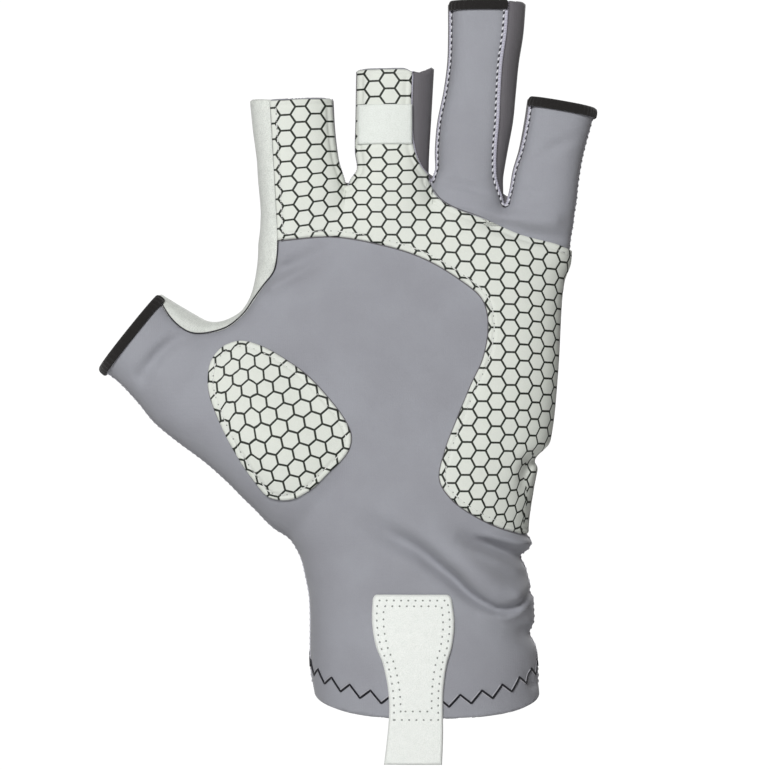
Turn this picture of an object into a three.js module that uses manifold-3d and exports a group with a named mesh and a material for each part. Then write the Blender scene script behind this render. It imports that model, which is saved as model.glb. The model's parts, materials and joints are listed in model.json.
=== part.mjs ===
// A fingerless fishing glove for the left hand, in the puffed form that it has when worn.
// Millimetres. +Z points to the fingertips, the palm faces -Y and the thumb points to -X.
// The origin is the middle of the wrist opening, level with the lowest point of the cuff edge.
//
// Each cloth piece is cut from one set of tubes: a palm tube, a web, a thumb and four fingers. The
// tubes are joined at their own size for the outside and at a smaller size for the inside, and the
// seams between the pieces are the outlines that the joined cloth is cut along.

import * as THREE from "three";
import { mergeVertices } from "three/addons/utils/BufferGeometryUtils.js";
import Module from "manifold-3d";

const wasm = await Module();
wasm.setup();

// Cloth
const FABRIC = 1.2;
const PATCH_CLOTH = 1.0;
const BAND_CLOTH = 1.0;
const TAB_CLOTH = 1.5;
const BINDING_CLOTH = 0.8;
const BINDING_HEIGHT = 2.4;
const HEM_HEIGHT = 8;
const SEAM_GAP = 0.3;

// Palm and wrist
const HAND_WIDTH = 94;
const PALM_LENGTH = 164;
const PALM_DEPTH = 30;
const CUFF_TILT = 15.4;
const FOLD_DEPTH = 2.4;
const FOLD_WIDTH = 3.2;

// Fingers, from the crotch line to the opening
const INDEX_LENGTH = 25;
const MIDDLE_LENGTH = 34.2;
const RING_LENGTH = 54.9;
const LITTLE_LENGTH = 23.8;
const INDEX_WIDTH = 26;
const MIDDLE_WIDTH = 24.2;
const RING_WIDTH = 24.2;
const LITTLE_WIDTH = 20.8;
const FINGER_DEPTH = 20;
const LITTLE_TILT = 10;

// Thumb
const THUMB_LENGTH = 79.2;
const THUMB_WIDTH = 33;
const THUMB_DEPTH = 24;
const THUMB_ANGLE = 51.3;

// Side strips and trims. The band's top is BAND_DROP below the middle finger's opening.
const STRIP_EDGE = 1.9;
const STRIP_DROP = 2.4;
const BAND_DROP = 10.8;
const BAND_HEIGHT = 12.3;
const BAND_WIDTH = 16.4;
const TAB_LENGTH = 51.6;
const TAB_WIDTH = 24.6;
const TAB_HANG = 14.3;

// The lowest height, as a share of PALM_LENGTH, where two fingers are taken to part
const CROTCH_FLOOR = 0.96;

// The thumb strip's seam: the height where it leaves the finger's side and how far it rounds the
// crotch, as shares of PALM_LENGTH and HAND_WIDTH, and where it meets the thumb, as a share of it
const CROTCH_BEND = 0.84;
const CROTCH_ROUND_UP = 0.085;
const CROTCH_ROUND_ACROSS = 0.1;
const THUMB_SEAM_START = 0.71;
const THUMB_SEAM_SWING = 0.6;

// How far the grip cloth follows the middle finger's edge above its root before it is cut straight
const GRIP_RISE = 5;

// How far a cutting shape reaches past what it cuts
const BEYOND = 10;

// Fineness of the faceted surfaces
const PALM_SIDES = 24;
const FINGER_SIDES = 14;
const THUMB_SIDES = 16;
const FINGER_STEP = 10;
const SEAM_STEP = 14;

// Sections of the palm. at is a share of PALM_LENGTH, left and right of HAND_WIDTH, front and back
// of PALM_DEPTH. power is the squareness of the section.
const PALM_ROWS = [
  { at: -0.140, left: 0.356, right: 0.366, front: 0.80, back: 0.76, power: 2.4 },
  { at: 0.000, left: 0.356, right: 0.366, front: 0.80, back: 0.76, power: 2.4 },
  { at: 0.079, left: 0.376, right: 0.370, front: 0.79, back: 0.73, power: 2.4 },
  { at: 0.210, left: 0.380, right: 0.354, front: 0.74, back: 0.66, power: 2.4 },
  { at: 0.262, left: 0.396, right: 0.335, front: 0.71, back: 0.62, power: 2.4 },
  { at: 0.295, left: 0.412, right: 0.342, front: 0.69, back: 0.60, power: 2.4 },
  { at: 0.343, left: 0.457, right: 0.332, front: 0.67, back: 0.57, power: 2.5 },
  { at: 0.399, left: 0.489, right: 0.343, front: 0.65, back: 0.54, power: 2.6 },
  { at: 0.463, left: 0.506, right: 0.366, front: 0.61, back: 0.51, power: 2.7 },
  { at: 0.512, left: 0.518, right: 0.404, front: 0.59, back: 0.49, power: 2.7 },
  { at: 0.640, left: 0.540, right: 0.429, front: 0.54, back: 0.46, power: 2.8 },
  { at: 0.780, left: 0.541, right: 0.443, front: 0.49, back: 0.44, power: 2.8 },
  { at: 0.853, left: 0.536, right: 0.460, front: 0.44, back: 0.41, power: 2.8 },
  { at: 0.890, left: 0.534, right: 0.454, front: 0.40, back: 0.38, power: 2.6 },
  { at: 0.920, left: 0.532, right: 0.472, front: 0.36, back: 0.35, power: 2.4 },
  { at: 0.950, left: 0.525, right: 0.465, front: 0.31, back: 0.31, power: 2.4 },
];

// Sections of the web that rounds off the crotch between the thumb and the index finger. left is
// the edge, right the width behind it, both shares of HAND_WIDTH.
const WEB_ROWS = [
  { at: 0.590, left: 0.600, right: 0.200, front: 0.28, back: 0.26, power: 2.3 },
  { at: 0.640, left: 0.630, right: 0.250, front: 0.40, back: 0.34, power: 2.3 },
  { at: 0.690, left: 0.662, right: 0.300, front: 0.40, back: 0.35, power: 2.3 },
  { at: 0.722, left: 0.676, right: 0.320, front: 0.37, back: 0.34, power: 2.3 },
  { at: 0.740, left: 0.640, right: 0.300, front: 0.36, back: 0.33, power: 2.3 },
  { at: 0.759, left: 0.602, right: 0.260, front: 0.36, back: 0.33, power: 2.3 },
  { at: 0.796, left: 0.565, right: 0.230, front: 0.35, back: 0.32, power: 2.3 },
  { at: 0.853, left: 0.540, right: 0.210, front: 0.34, back: 0.31, power: 2.3 },
  { at: 0.900, left: 0.537, right: 0.210, front: 0.33, back: 0.30, power: 2.3 },
];

// Sections of each finger. at is a share of its length above the crotch line, centre a share of
// HAND_WIDTH, wide of the finger's width and deep of FINGER_DEPTH.
const INDEX_ROWS = [
  { at: -1.20, centre: -0.385, wide: 0.98, deep: 0.70 },
  { at: -0.65, centre: -0.389, wide: 1.06, deep: 0.98 },
  { at: -0.22, centre: -0.396, wide: 1.073, deep: 1.04 },
  { at: 0.03, centre: -0.406, wide: 1.046, deep: 1.02 },
  { at: 0.27, centre: -0.418, wide: 0.988, deep: 1.00 },
  { at: 0.63, centre: -0.431, wide: 0.985, deep: 0.99 },
  { at: 1.00, centre: -0.439, wide: 1.000, deep: 0.98 },
];
const MIDDLE_ROWS = [
  { at: -0.80, centre: -0.120, wide: 1.10, deep: 0.80 },
  { at: -0.40, centre: -0.122, wide: 1.24, deep: 1.06 },
  { at: -0.16, centre: -0.122, wide: 1.231, deep: 1.08 },
  { at: 0.02, centre: -0.114, wide: 1.040, deep: 1.04 },
  { at: 0.11, centre: -0.107, wide: 0.935, deep: 1.02 },
  { at: 0.28, centre: -0.109, wide: 0.963, deep: 1.00 },
  { at: 0.55, centre: -0.105, wide: 0.975, deep: 1.00 },
  { at: 1.00, centre: -0.099, wide: 1.000, deep: 0.98 },
];
const RING_ROWS = [
  { at: -0.50, centre: 0.134, wide: 1.00, deep: 0.80 },
  { at: -0.26, centre: 0.135, wide: 1.00, deep: 1.06 },
  { at: -0.10, centre: 0.136, wide: 0.971, deep: 1.06 },
  { at: 0.01, centre: 0.138, wide: 0.930, deep: 1.02 },
  { at: 0.07, centre: 0.146, wide: 0.901, deep: 1.00 },
  { at: 0.18, centre: 0.152, wide: 0.942, deep: 0.98 },
  { at: 0.34, centre: 0.165, wide: 0.975, deep: 0.98 },
  { at: 0.51, centre: 0.180, wide: 0.934, deep: 0.97 },
  { at: 0.67, centre: 0.191, wide: 0.921, deep: 0.97 },
  { at: 0.83, centre: 0.200, wide: 0.967, deep: 0.98 },
  { at: 1.00, centre: 0.204, wide: 1.000, deep: 0.98 },
];
const LITTLE_ROWS = [
  { at: -1.20, centre: 0.352, wide: 1.02, deep: 0.66 },
  { at: -0.60, centre: 0.360, wide: 1.12, deep: 0.92 },
  { at: -0.22, centre: 0.383, wide: 1.050, deep: 0.96 },
  { at: -0.09, centre: 0.389, wide: 1.020, deep: 0.95 },
  { at: 0.15, centre: 0.399, wide: 1.005, deep: 0.94 },
  { at: 0.40, centre: 0.415, wide: 0.962, deep: 0.92 },
  { at: 0.75, centre: 0.435, wide: 0.971, deep: 0.91 },
  { at: 1.00, centre: 0.448, wide: 1.000, deep: 0.90 },
];

// Sections of the thumb from its root to its opening. at is a share of THUMB_LENGTH, lower and
// upper are shares of THUMB_WIDTH either side of the thumb's line, front and back of THUMB_DEPTH.
const THUMB_ROWS = [
  { at: 0.00, lower: 0.40, upper: 0.40, front: 0.42, back: 0.30 },
  { at: 0.08, lower: 0.56, upper: 0.50, front: 0.66, back: 0.42 },
  { at: 0.20, lower: 0.570, upper: 0.56, front: 0.78, back: 0.48 },
  { at: 0.35, lower: 0.533, upper: 0.58, front: 0.78, back: 0.50 },
  { at: 0.46, lower: 0.521, upper: 0.60, front: 0.73, back: 0.50 },
  { at: 0.60, lower: 0.533, upper: 0.60, front: 0.65, back: 0.50 },
  { at: 0.71, lower: 0.527, upper: 0.56, front: 0.57, back: 0.49 },
  { at: 0.81, lower: 0.476, upper: 0.515, front: 0.52, back: 0.48 },
  { at: 0.92, lower: 0.440, upper: 0.475, front: 0.48, back: 0.46 },
  { at: 1.00, lower: 0.452, upper: 0.452, front: 0.46, back: 0.46 },
];

// Folds pressed into the front, each a line of rows. across and up are shares of HAND_WIDTH and
// PALM_LENGTH. sink is a share of FOLD_DEPTH, less than 0 where the cloth swells.
const FOLDS = {
  cuffGroove: [
    { across: -0.218, up: 0.378, sink: 0.10 },
    { across: -0.021, up: 0.308, sink: 0.90 },
    { across: 0.090, up: 0.256, sink: 1.25 },
    { across: 0.186, up: 0.210, sink: 1.10 },
    { across: 0.298, up: 0.202, sink: 0.60 },
    { across: 0.340, up: 0.226, sink: 0.50 },
  ],
  cuffRoll: [
    { across: -0.085, up: 0.378, sink: -0.10 },
    { across: 0.048, up: 0.332, sink: -0.50 },
    { across: 0.160, up: 0.274, sink: -0.90 },
    { across: 0.240, up: 0.241, sink: -1.00 },
    { across: 0.298, up: 0.226, sink: -0.80 },
  ],
  upperGroove: [
    { across: 0.090, up: 0.338, sink: 0.10 },
    { across: 0.160, up: 0.326, sink: 0.70 },
    { across: 0.266, up: 0.304, sink: 1.20 },
    { across: 0.362, up: 0.280, sink: 1.00 },
  ],
  gripPinch: [
    { across: 0.404, up: 0.485, sink: 0.90 },
    { across: 0.346, up: 0.473, sink: 0.80 },
    { across: 0.324, up: 0.451, sink: 0.40 },
    { across: 0.314, up: 0.418, sink: 0.10 },
  ],
  thumbCrease: [
    { across: -0.900, up: 0.656, sink: 0.20 },
    { across: -0.862, up: 0.680, sink: 0.65 },
    { across: -0.815, up: 0.700, sink: 0.60 },
    { across: -0.761, up: 0.710, sink: 0.10 },
  ],
  littleCrease: [
    { across: 0.085, up: 0.924, sink: 0.15 },
    { across: 0.181, up: 0.907, sink: 0.40 },
    { across: 0.277, up: 0.895, sink: 0.80 },
    { across: 0.447, up: 0.885, sink: 0.90 },
  ],
  indexCrease: [
    { across: -0.537, up: 0.814, sink: 0.60 },
    { across: -0.468, up: 0.833, sink: 0.50 },
    { across: -0.383, up: 0.856, sink: 0.25 },
    { across: -0.309, up: 0.875, sink: 0.10 },
  ],
};

// Where down the front of a section the folds begin and where they are full, as shares of its depth
const FOLD_START = 0.25;
const FOLD_FULL = 0.8;

// The lower edge of the palm's grip patch, from the index finger's strip round to the outer seam,
// and its upper edge on the outer side. across and up are shares of HAND_WIDTH and PALM_LENGTH.
const PATCH_LOWER_EDGE = [
  { across: -0.474, up: 0.888 },
  { across: -0.302, up: 0.895 },
  { across: -0.159, up: 0.881 },
  { across: -0.016, up: 0.856 },
  { across: 0.108, up: 0.815 },
  { across: 0.187, up: 0.775 },
  { across: 0.205, up: 0.727 },
  { across: 0.187, up: 0.665 },
  { across: 0.151, up: 0.620 },
  { across: 0.099, up: 0.548 },
  { across: 0.063, up: 0.495 },
  { across: 0.046, up: 0.439 },
  { across: 0.088, up: 0.402 },
  { across: 0.145, up: 0.378 },
  { across: 0.230, up: 0.353 },
  { across: 0.320, up: 0.336 },
];
const PATCH_UPPER_EDGE = [
  { across: 0.470, up: 0.872 },
  { across: 0.435, up: 0.880 },
  { across: 0.311, up: 0.899 },
  { across: 0.207, up: 0.925 },
  { across: 0.093, up: 0.949 },
  { across: 0.041, up: 0.969 },
  { across: 0.006, up: 1.000 },
];

// The closed outline of the thumb's grip patch, in the same shares.
const THUMB_PATCH_EDGE = [
  { across: -0.601, up: 0.699 },
  { across: -0.535, up: 0.689 },
  { across: -0.452, up: 0.662 },
  { across: -0.386, up: 0.634 },
  { across: -0.319, up: 0.594 },
  { across: -0.262, up: 0.550 },
  { across: -0.242, up: 0.520 },
  { across: -0.254, up: 0.490 },
  { across: -0.312, up: 0.455 },
  { across: -0.376, up: 0.421 },
  { across: -0.440, up: 0.403 },
  { across: -0.508, up: 0.408 },
  { across: -0.556, up: 0.438 },
  { across: -0.622, up: 0.494 },
  { across: -0.677, up: 0.556 },
  { across: -0.707, up: 0.612 },
  { across: -0.700, up: 0.660 },
  { across: -0.661, up: 0.688 },
];

// Sections of the pull tab. at is a share of TAB_LENGTH down from its top edge, left and right of
// TAB_WIDTH either side of its line.
const TAB_ROWS = [
  { at: 0.000, left: 0.455, right: 0.440 },
  { at: 0.025, left: 0.492, right: 0.488 },
  { at: 0.170, left: 0.500, right: 0.500 },
  { at: 0.300, left: 0.455, right: 0.478 },
  { at: 0.410, left: 0.366, right: 0.415 },
  { at: 0.560, left: 0.303, right: 0.382 },
  { at: 0.700, left: 0.290, right: 0.377 },
  { at: 0.850, left: 0.315, right: 0.377 },
  { at: 1.000, left: 0.352, right: 0.364 },
];
const TAB_ACROSS = -0.043;

const radians = THREE.MathUtils.degToRad;

/** Numbers from start to end with steps of about the given size. */
function spread(start, end, step) {
  const count = Math.max(1, Math.round(Math.abs(end - start) / step));
  return Array.from({ length: count + 1 }, (_, i) => start + ((end - start) * i) / count);
}

/** The columns of a table at a place between its rows, on a smooth curve through the rows. */
function sample(table, at) {
  const last = table.length - 1;
  let k = 0;
  while (k < last - 1 && at > table[k + 1].at) {
    k += 1;
  }
  const t = (at - table[k].at) / (table[k + 1].at - table[k].at);
  const before = table[Math.max(0, k - 1)];
  const after = table[Math.min(last, k + 2)];
  const row = {};
  for (const column of Object.keys(table[k])) {
    const start = table[k][column];
    const end = table[k + 1][column];
    const span = table[k + 1].at - table[k].at;
    const slopeIn = k > 0 ? ((end - before[column]) / (table[k + 1].at - before.at)) * span : end - start;
    const slopeOut =
      k + 1 < last ? ((after[column] - start) / (after.at - table[k].at)) * span : end - start;
    const cubic = start * (2 * t ** 3 - 3 * t ** 2 + 1) + end * (3 * t ** 2 - 2 * t ** 3);
    const bend = slopeIn * (t ** 3 - 2 * t ** 2 + t) + slopeOut * (t ** 3 - t ** 2);
    row[column] = t < 0 || t > 1 ? start + (end - start) * t : cubic + bend;
  }
  return row;
}

/** A table row's place in the plane of the hand. */
function placed(row) {
  return new THREE.Vector3(row.across * HAND_WIDTH, 0, row.up * PALM_LENGTH);
}

/** How far the folds press the front of the cloth in at a place on the hand. */
function foldAt(x, z) {
  const place = new THREE.Vector3(x, 0, z);
  let press = 0;
  for (const rows of Object.values(FOLDS)) {
    let nearest = Infinity;
    let sink = 0;
    for (let i = 0; i + 1 < rows.length; i += 1) {
      const stretch = new THREE.Line3(placed(rows[i]), placed(rows[i + 1]));
      const share = stretch.closestPointToPointParameter(place, true);
      const away = stretch.at(share, new THREE.Vector3()).distanceTo(place);
      if (away < nearest) {
        nearest = away;
        sink = THREE.MathUtils.lerp(rows[i].sink, rows[i + 1].sink, share);
      }
    }
    press += FOLD_DEPTH * sink * Math.exp(-((nearest / FOLD_WIDTH) ** 2));
  }
  return press;
}

/** A closed surface through rings of points that run round its line, with a cap on each end. */
function loft(rings) {
  const sides = rings[0].length;
  const points = rings.flat();
  const faces = [];
  for (let i = 0; i + 1 < rings.length; i += 1) {
    for (let j = 0; j < sides; j += 1) {
      const a = i * sides + j;
      const b = i * sides + ((j + 1) % sides);
      faces.push(a, b, b + sides, a, b + sides, a + sides);
    }
  }
  for (const [ring, start] of [[rings[0], 0], [rings.at(-1), (rings.length - 1) * sides]]) {
    const middle = ring.reduce((sum, p) => sum.add(p), new THREE.Vector3()).divideScalar(sides);
    const hub = points.push(middle) - 1;
    for (let j = 0; j < sides; j += 1) {
      const a = start + j;
      const b = start + ((j + 1) % sides);
      faces.push(...(start === 0 ? [hub, b, a] : [hub, a, b]));
    }
  }
  const geometry = new THREE.BufferGeometry().setFromPoints(points);
  geometry.setIndex(faces);
  return geometry;
}

/** A three.js geometry as a solid that can be joined and cut. */
function solid(geometry) {
  geometry.deleteAttribute("normal");
  geometry.deleteAttribute("uv");
  const merged = mergeVertices(geometry, 1e-5);
  return new wasm.Manifold(
    new wasm.Mesh({
      numProp: 3,
      vertProperties: Float32Array.from(merged.attributes.position.array),
      triVerts: Uint32Array.from(merged.index.array),
    }),
  );
}

/** Several solids joined into one. */
function join(solids) {
  return solids.reduce((whole, next) => whole.add(next));
}

/** The line of a tube in the plane of the hand: where it starts and how far it leans to -X. */
function line(x, z, lean) {
  return { x, z, sin: Math.sin(radians(lean)), cos: Math.cos(radians(lean)) };
}

/** A point beside a tube's line: across it, in depth and along it. */
function beside(path, across, depth, along) {
  return new THREE.Vector3(
    path.x + across * path.cos - along * path.sin,
    depth,
    path.z + across * path.sin + along * path.cos,
  );
}

/** A tube of rounded sections, grown by a distance on every side, with folds on its front. */
function tube(path, sections, sides, grow) {
  const rings = sections.map((section) => {
    const ring = [];
    for (let j = 0; j < sides; j += 1) {
      const angle = (2 * Math.PI * j) / sides;
      const turn = [Math.cos(angle), Math.sin(angle)];
      const [c, s] = turn.map((v) => Math.sign(v) * Math.abs(v) ** (2 / section.power));
      const across = c * ((c < 0 ? section.left : section.right) + grow);
      const depth = s * ((s < 0 ? section.front : section.back) + grow);
      const point = beside(path, section.centre + across, depth, section.along + section.tilt * across);
      if (s < 0) {
        point.y += foldAt(point.x, point.z) * THREE.MathUtils.smoothstep(-s, FOLD_START, FOLD_FULL);
      }
      ring.push(point);
    }
    return ring;
  });
  return solid(loft(rings));
}

/** A finger's tube: its line, its fineness and its section at any share of its length. */
const fingerTube = (rows, length, width, tilt) => ({
  path: line(0, PALM_LENGTH, 0),
  sides: FINGER_SIDES,
  length,
  width,
  rows,
  stations: spread(rows[0].at, 1, FINGER_STEP / length),
  section: (at) => {
    const row = sample(rows, at);
    return {
      along: at * length,
      centre: row.centre * HAND_WIDTH,
      left: (row.wide * width) / 2,
      right: (row.wide * width) / 2,
      front: (row.deep * FINGER_DEPTH) / 2,
      back: (row.deep * FINGER_DEPTH) / 2,
      power: 2.5,
      tilt: -Math.tan(radians(tilt)) * THREE.MathUtils.smoothstep(at, 0, 1),
    };
  },
});

const PALM = {
  path: line(0, 0, 0),
  sides: PALM_SIDES,
  length: PALM_LENGTH,
  closedTop: true,
  stations: [
    ...spread(PALM_ROWS[0].at, 0.17, 0.065),
    ...spread(0.195, 0.35, 0.026),
    ...spread(0.39, 0.85, 0.065),
    ...spread(0.88, PALM_ROWS.at(-1).at, 0.027),
  ],
  section: (at) => {
    const row = sample(PALM_ROWS, at);
    return {
      along: at * PALM_LENGTH,
      centre: 0,
      left: row.left * HAND_WIDTH,
      right: row.right * HAND_WIDTH,
      front: row.front * PALM_DEPTH,
      back: row.back * PALM_DEPTH,
      power: row.power,
      tilt: 0,
    };
  },
};

const WEB = {
  path: line(0, 0, 0),
  sides: FINGER_SIDES,
  length: PALM_LENGTH,
  closedTop: true,
  stations: spread(WEB_ROWS[0].at, WEB_ROWS.at(-1).at, 0.034),
  section: (at) => {
    const row = sample(WEB_ROWS, at);
    const half = (row.right * HAND_WIDTH) / 2;
    return {
      along: at * PALM_LENGTH,
      centre: half - row.left * HAND_WIDTH,
      left: half,
      right: half,
      front: row.front * PALM_DEPTH,
      back: row.back * PALM_DEPTH,
      power: row.power,
      tilt: 0,
    };
  },
};

const THUMB = {
  path: line(-0.31 * HAND_WIDTH, 0.415 * PALM_LENGTH, THUMB_ANGLE),
  sides: THUMB_SIDES,
  length: THUMB_LENGTH,
  stations: spread(0, 1, FINGER_STEP / THUMB_LENGTH),
  section: (at) => {
    const row = sample(THUMB_ROWS, at);
    return {
      along: at * THUMB_LENGTH,
      centre: 0,
      left: row.lower * THUMB_WIDTH,
      right: row.upper * THUMB_WIDTH,
      front: row.front * THUMB_DEPTH,
      back: row.back * THUMB_DEPTH,
      power: 2.3,
      tilt: 0,
    };
  },
};

const INDEX = fingerTube(INDEX_ROWS, INDEX_LENGTH, INDEX_WIDTH, 0);
const MIDDLE = fingerTube(MIDDLE_ROWS, MIDDLE_LENGTH, MIDDLE_WIDTH, 0);
const RING = fingerTube(RING_ROWS, RING_LENGTH, RING_WIDTH, 0);
const LITTLE = fingerTube(LITTLE_ROWS, LITTLE_LENGTH, LITTLE_WIDTH, LITTLE_TILT);
const OPEN_TUBES = [THUMB, INDEX, MIDDLE, RING, LITTLE];

/** One tube grown by a distance, and drawn out past its opening by a distance. */
function grown(part, grow, past = 0) {
  const sections = part.stations.map(part.section);
  if (part.closedTop) {
    sections.at(-1).along += grow;
  }
  if (past !== 0) {
    const end = part.section(1);
    const drift = part.section(1).centre - part.section(0.99).centre;
    const slope = drift / (0.01 * part.length);
    sections.push({ ...end, along: end.along + past, centre: end.centre + past * slope });
  }
  return tube(part.path, sections, part.sides, grow);
}

/** The whole hand form grown by a distance. */
function hand(grow) {
  return join([PALM, WEB, ...OPEN_TUBES].map((part) => grown(part, grow)));
}

/** A prism over an outline in the plane of the hand, between two depths. */
function prism(outline, near, far) {
  const geometry = new THREE.ExtrudeGeometry(new THREE.Shape(outline), {
    depth: far - near,
    bevelEnabled: false,
  });
  geometry.rotateX(Math.PI / 2);
  geometry.translate(0, far, 0);
  return solid(geometry);
}

/** All that is above (1) or below (-1) the cuff's slanting plane, which is first raised a little. */
function cuffSide(raise, side) {
  const size = 4 * PALM_LENGTH;
  const geometry = new THREE.BoxGeometry(size, size, size);
  geometry.translate(0, 0, (side * size) / 2 + raise);
  geometry.rotateX(radians(CUFF_TILT));
  geometry.translate(0, 0, PALM.section(0).front * Math.tan(radians(CUFF_TILT)));
  return solid(geometry);
}

/** The x of a finger's left (-1) or right (1) edge at a height. */
function edge(finger, side, z) {
  const section = finger.section((z - PALM_LENGTH) / finger.length);
  return section.centre + side * section.left;
}

/** The height where two neighbouring fingers part. */
function crotch(leftFinger, rightFinger) {
  const top = PALM_LENGTH + Math.min(leftFinger.length, rightFinger.length);
  const floor = CROTCH_FLOOR * PALM_LENGTH;
  const heights = spread(top, floor, 0.5);
  const meet = heights.find((z) => edge(leftFinger, 1, z) >= edge(rightFinger, -1, z));
  return meet ?? floor;
}

/** The outline of a side strip between two fingers, from its seam lines on one face of the hand. */
function stripOutline(leftFinger, rightFinger, insetLeft, insetRight, grow) {
  const start = crotch(leftFinger, rightFinger);
  const reach = PALM_LENGTH + Math.max(leftFinger.length, rightFinger.length) + BEYOND;
  const heights = spread(start + 1, reach, SEAM_STEP);
  const leftSeam = (z) => edge(leftFinger, 1, Math.min(z, PALM_LENGTH + leftFinger.length)) - insetLeft;
  const rightSeam = (z) =>
    edge(rightFinger, -1, Math.min(z, PALM_LENGTH + rightFinger.length)) + insetRight;
  const left = heights.map((z) => new THREE.Vector2(leftSeam(z) - grow, z)).reverse();
  const right = heights.map((z) => new THREE.Vector2(rightSeam(z) + grow, z));
  const middle = (left.at(-1).x + right[0].x) / 2;
  const half = (right[0].x - left.at(-1).x) / 2;
  const bottom = spread(Math.PI, 2 * Math.PI, Math.PI / 4)
    .slice(1, -1)
    .map(
      (angle) =>
        new THREE.Vector2(
          middle + half * Math.cos(angle),
          start + 1 + (STRIP_DROP + 1 + grow) * Math.sin(angle),
        ),
    );
  return [...left, ...bottom, ...right];
}

/** The room of a finger strip: one prism at the front of the hand and one at the back. */
function fingerStrip(leftFinger, rightFinger, front, back, grow) {
  const deep = PALM_DEPTH;
  const frontOutline = stripOutline(leftFinger, rightFinger, front[0], front[1], grow);
  const backOutline = stripOutline(leftFinger, rightFinger, back[0], back[1], grow);
  return join([prism(frontOutline, -deep, 0), prism(backOutline, 0, deep)]);
}

/** The outline of the thumb strip: inside it is all that lies beyond its seam on the thumb side. */
function thumbStripOutline(insetIndex, insetCrotch, insetThumb, grow) {
  const top = PALM_LENGTH + INDEX_LENGTH;
  const bend = CROTCH_BEND * PALM_LENGTH;
  const fingerSeam = spread(top + BEYOND, bend, SEAM_STEP).map((z) => {
    const share = THREE.MathUtils.clamp((z - bend) / (top - bend), 0, 1);
    const inset = THREE.MathUtils.lerp(insetCrotch, insetIndex, share);
    return new THREE.Vector2(edge(INDEX, -1, Math.min(z, top)) + inset + grow, z);
  });
  const thumbSeam = spread(THUMB_SEAM_START, 1 + BEYOND / THUMB_LENGTH, 0.1).map((at) => {
    const held = Math.min(at, 1);
    const share = THREE.MathUtils.clamp((held - THUMB_SEAM_SWING) / (1 - THUMB_SEAM_SWING), 0, 1);
    const swing = Math.sin(Math.PI * share);
    const inset = insetCrotch + (insetThumb - insetCrotch) * swing;
    const section = THUMB.section(held);
    const point = beside(THUMB.path, section.right - inset - grow, 0, at * THUMB_LENGTH);
    return new THREE.Vector2(point.x, point.z);
  });
  const round = new THREE.CubicBezierCurve(
    fingerSeam.at(-1),
    fingerSeam.at(-1).clone().add(new THREE.Vector2(0, -CROTCH_ROUND_UP * PALM_LENGTH)),
    thumbSeam[0].clone().add(new THREE.Vector2(CROTCH_ROUND_ACROSS * HAND_WIDTH, 0)),
    thumbSeam[0],
  )
    .getPoints(6)
    .slice(1, -1);
  const corner = new THREE.Vector2(thumbSeam.at(-1).x, top + BEYOND);
  return [...fingerSeam, ...round, ...thumbSeam, corner];
}

/** The room of the thumb strip, with its own seams on the front and the back of the hand. */
function thumbStrip(grow) {
  const deep = PALM_DEPTH;
  const front = thumbStripOutline(0.3 * INDEX_WIDTH, STRIP_EDGE, 0.2 * THUMB_WIDTH, grow);
  const back = thumbStripOutline(STRIP_EDGE + 1, STRIP_EDGE, STRIP_EDGE + 1, grow);
  return join([prism(front, -deep, 0), prism(back, 0, deep)]);
}

/** The rooms of the four side strips, grown on every side by a distance. */
function stripRooms(grow) {
  return {
    thumbIndex: thumbStrip(grow),
    indexMiddle: fingerStrip(
      INDEX, MIDDLE, [STRIP_EDGE, STRIP_EDGE], [STRIP_EDGE + 1, STRIP_EDGE + 1], grow),
    middleRing: fingerStrip(
      MIDDLE, RING, [0.28 * MIDDLE_WIDTH, STRIP_EDGE], [STRIP_EDGE, STRIP_EDGE + 1], grow),
    ringLittle: fingerStrip(
      RING, LITTLE, [0.25 * RING_WIDTH, STRIP_EDGE], [STRIP_EDGE, STRIP_EDGE + 1], grow),
  };
}

/** Half of all space at the front (-1) or the back (1) of the hand, short of the side seam. */
function halfSpace(side) {
  const size = 4 * PALM_LENGTH;
  const geometry = new THREE.BoxGeometry(size, size, size);
  geometry.translate(0, side * (size + SEAM_GAP) * 0.5, 0);
  return solid(geometry);
}

/** A smooth outline through table points, as points in the plane of the hand. */
function smoothEdge(rows, closed, count) {
  const curve = new THREE.CatmullRomCurve3(rows.map(placed), closed, "centripetal");
  const samples = curve.getPoints(count).map((p) => new THREE.Vector2(p.x, p.z));
  return closed ? samples.slice(0, -1) : samples;
}

/** The glove's cloth before it is parted into its pieces, with the cuff's hem turned in. */
function cloth() {
  const room = join([
    grown(PALM, -FABRIC).intersect(cuffSide(HEM_HEIGHT, 1)),
    grown(PALM, -2 * FABRIC),
    grown(WEB, -FABRIC),
    ...OPEN_TUBES.map((part) => grown(part, -FABRIC, BEYOND)),
  ]);
  return hand(0).intersect(cuffSide(0, 1)).subtract(room);
}

/** A layer of cloth that lies on the front of the glove, between two heights above it. */
function layer(lift, thickness) {
  return hand(lift + thickness).subtract(hand(lift));
}

/** The printed grip cloth of the palm, up to the seams of the fingers that it covers. */
function palmPatch(sheet, rooms) {
  const lower = smoothEdge(PATCH_LOWER_EDGE, false, 22);
  const upper = smoothEdge(PATCH_UPPER_EDGE, false, 7);
  const outside = 0.7 * HAND_WIDTH;
  const top = PALM_LENGTH + MIDDLE_LENGTH + BEYOND;
  const outline = [
    new THREE.Vector2(-outside, lower[0].y),
    ...lower,
    new THREE.Vector2(outside, lower.at(-1).y),
    new THREE.Vector2(outside, upper[0].y),
    ...upper,
    new THREE.Vector2(edge(MIDDLE, 1, PALM_LENGTH + GRIP_RISE), PALM_LENGTH + GRIP_RISE),
    new THREE.Vector2(upper.at(-1).x, top),
    new THREE.Vector2(-outside, top),
  ];
  return sheet
    .intersect(prism(outline, -2 * PALM_DEPTH, -SEAM_GAP))
    .subtract(rooms.thumbIndex)
    .subtract(rooms.indexMiddle)
    .subtract(rooms.middleRing);
}

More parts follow.
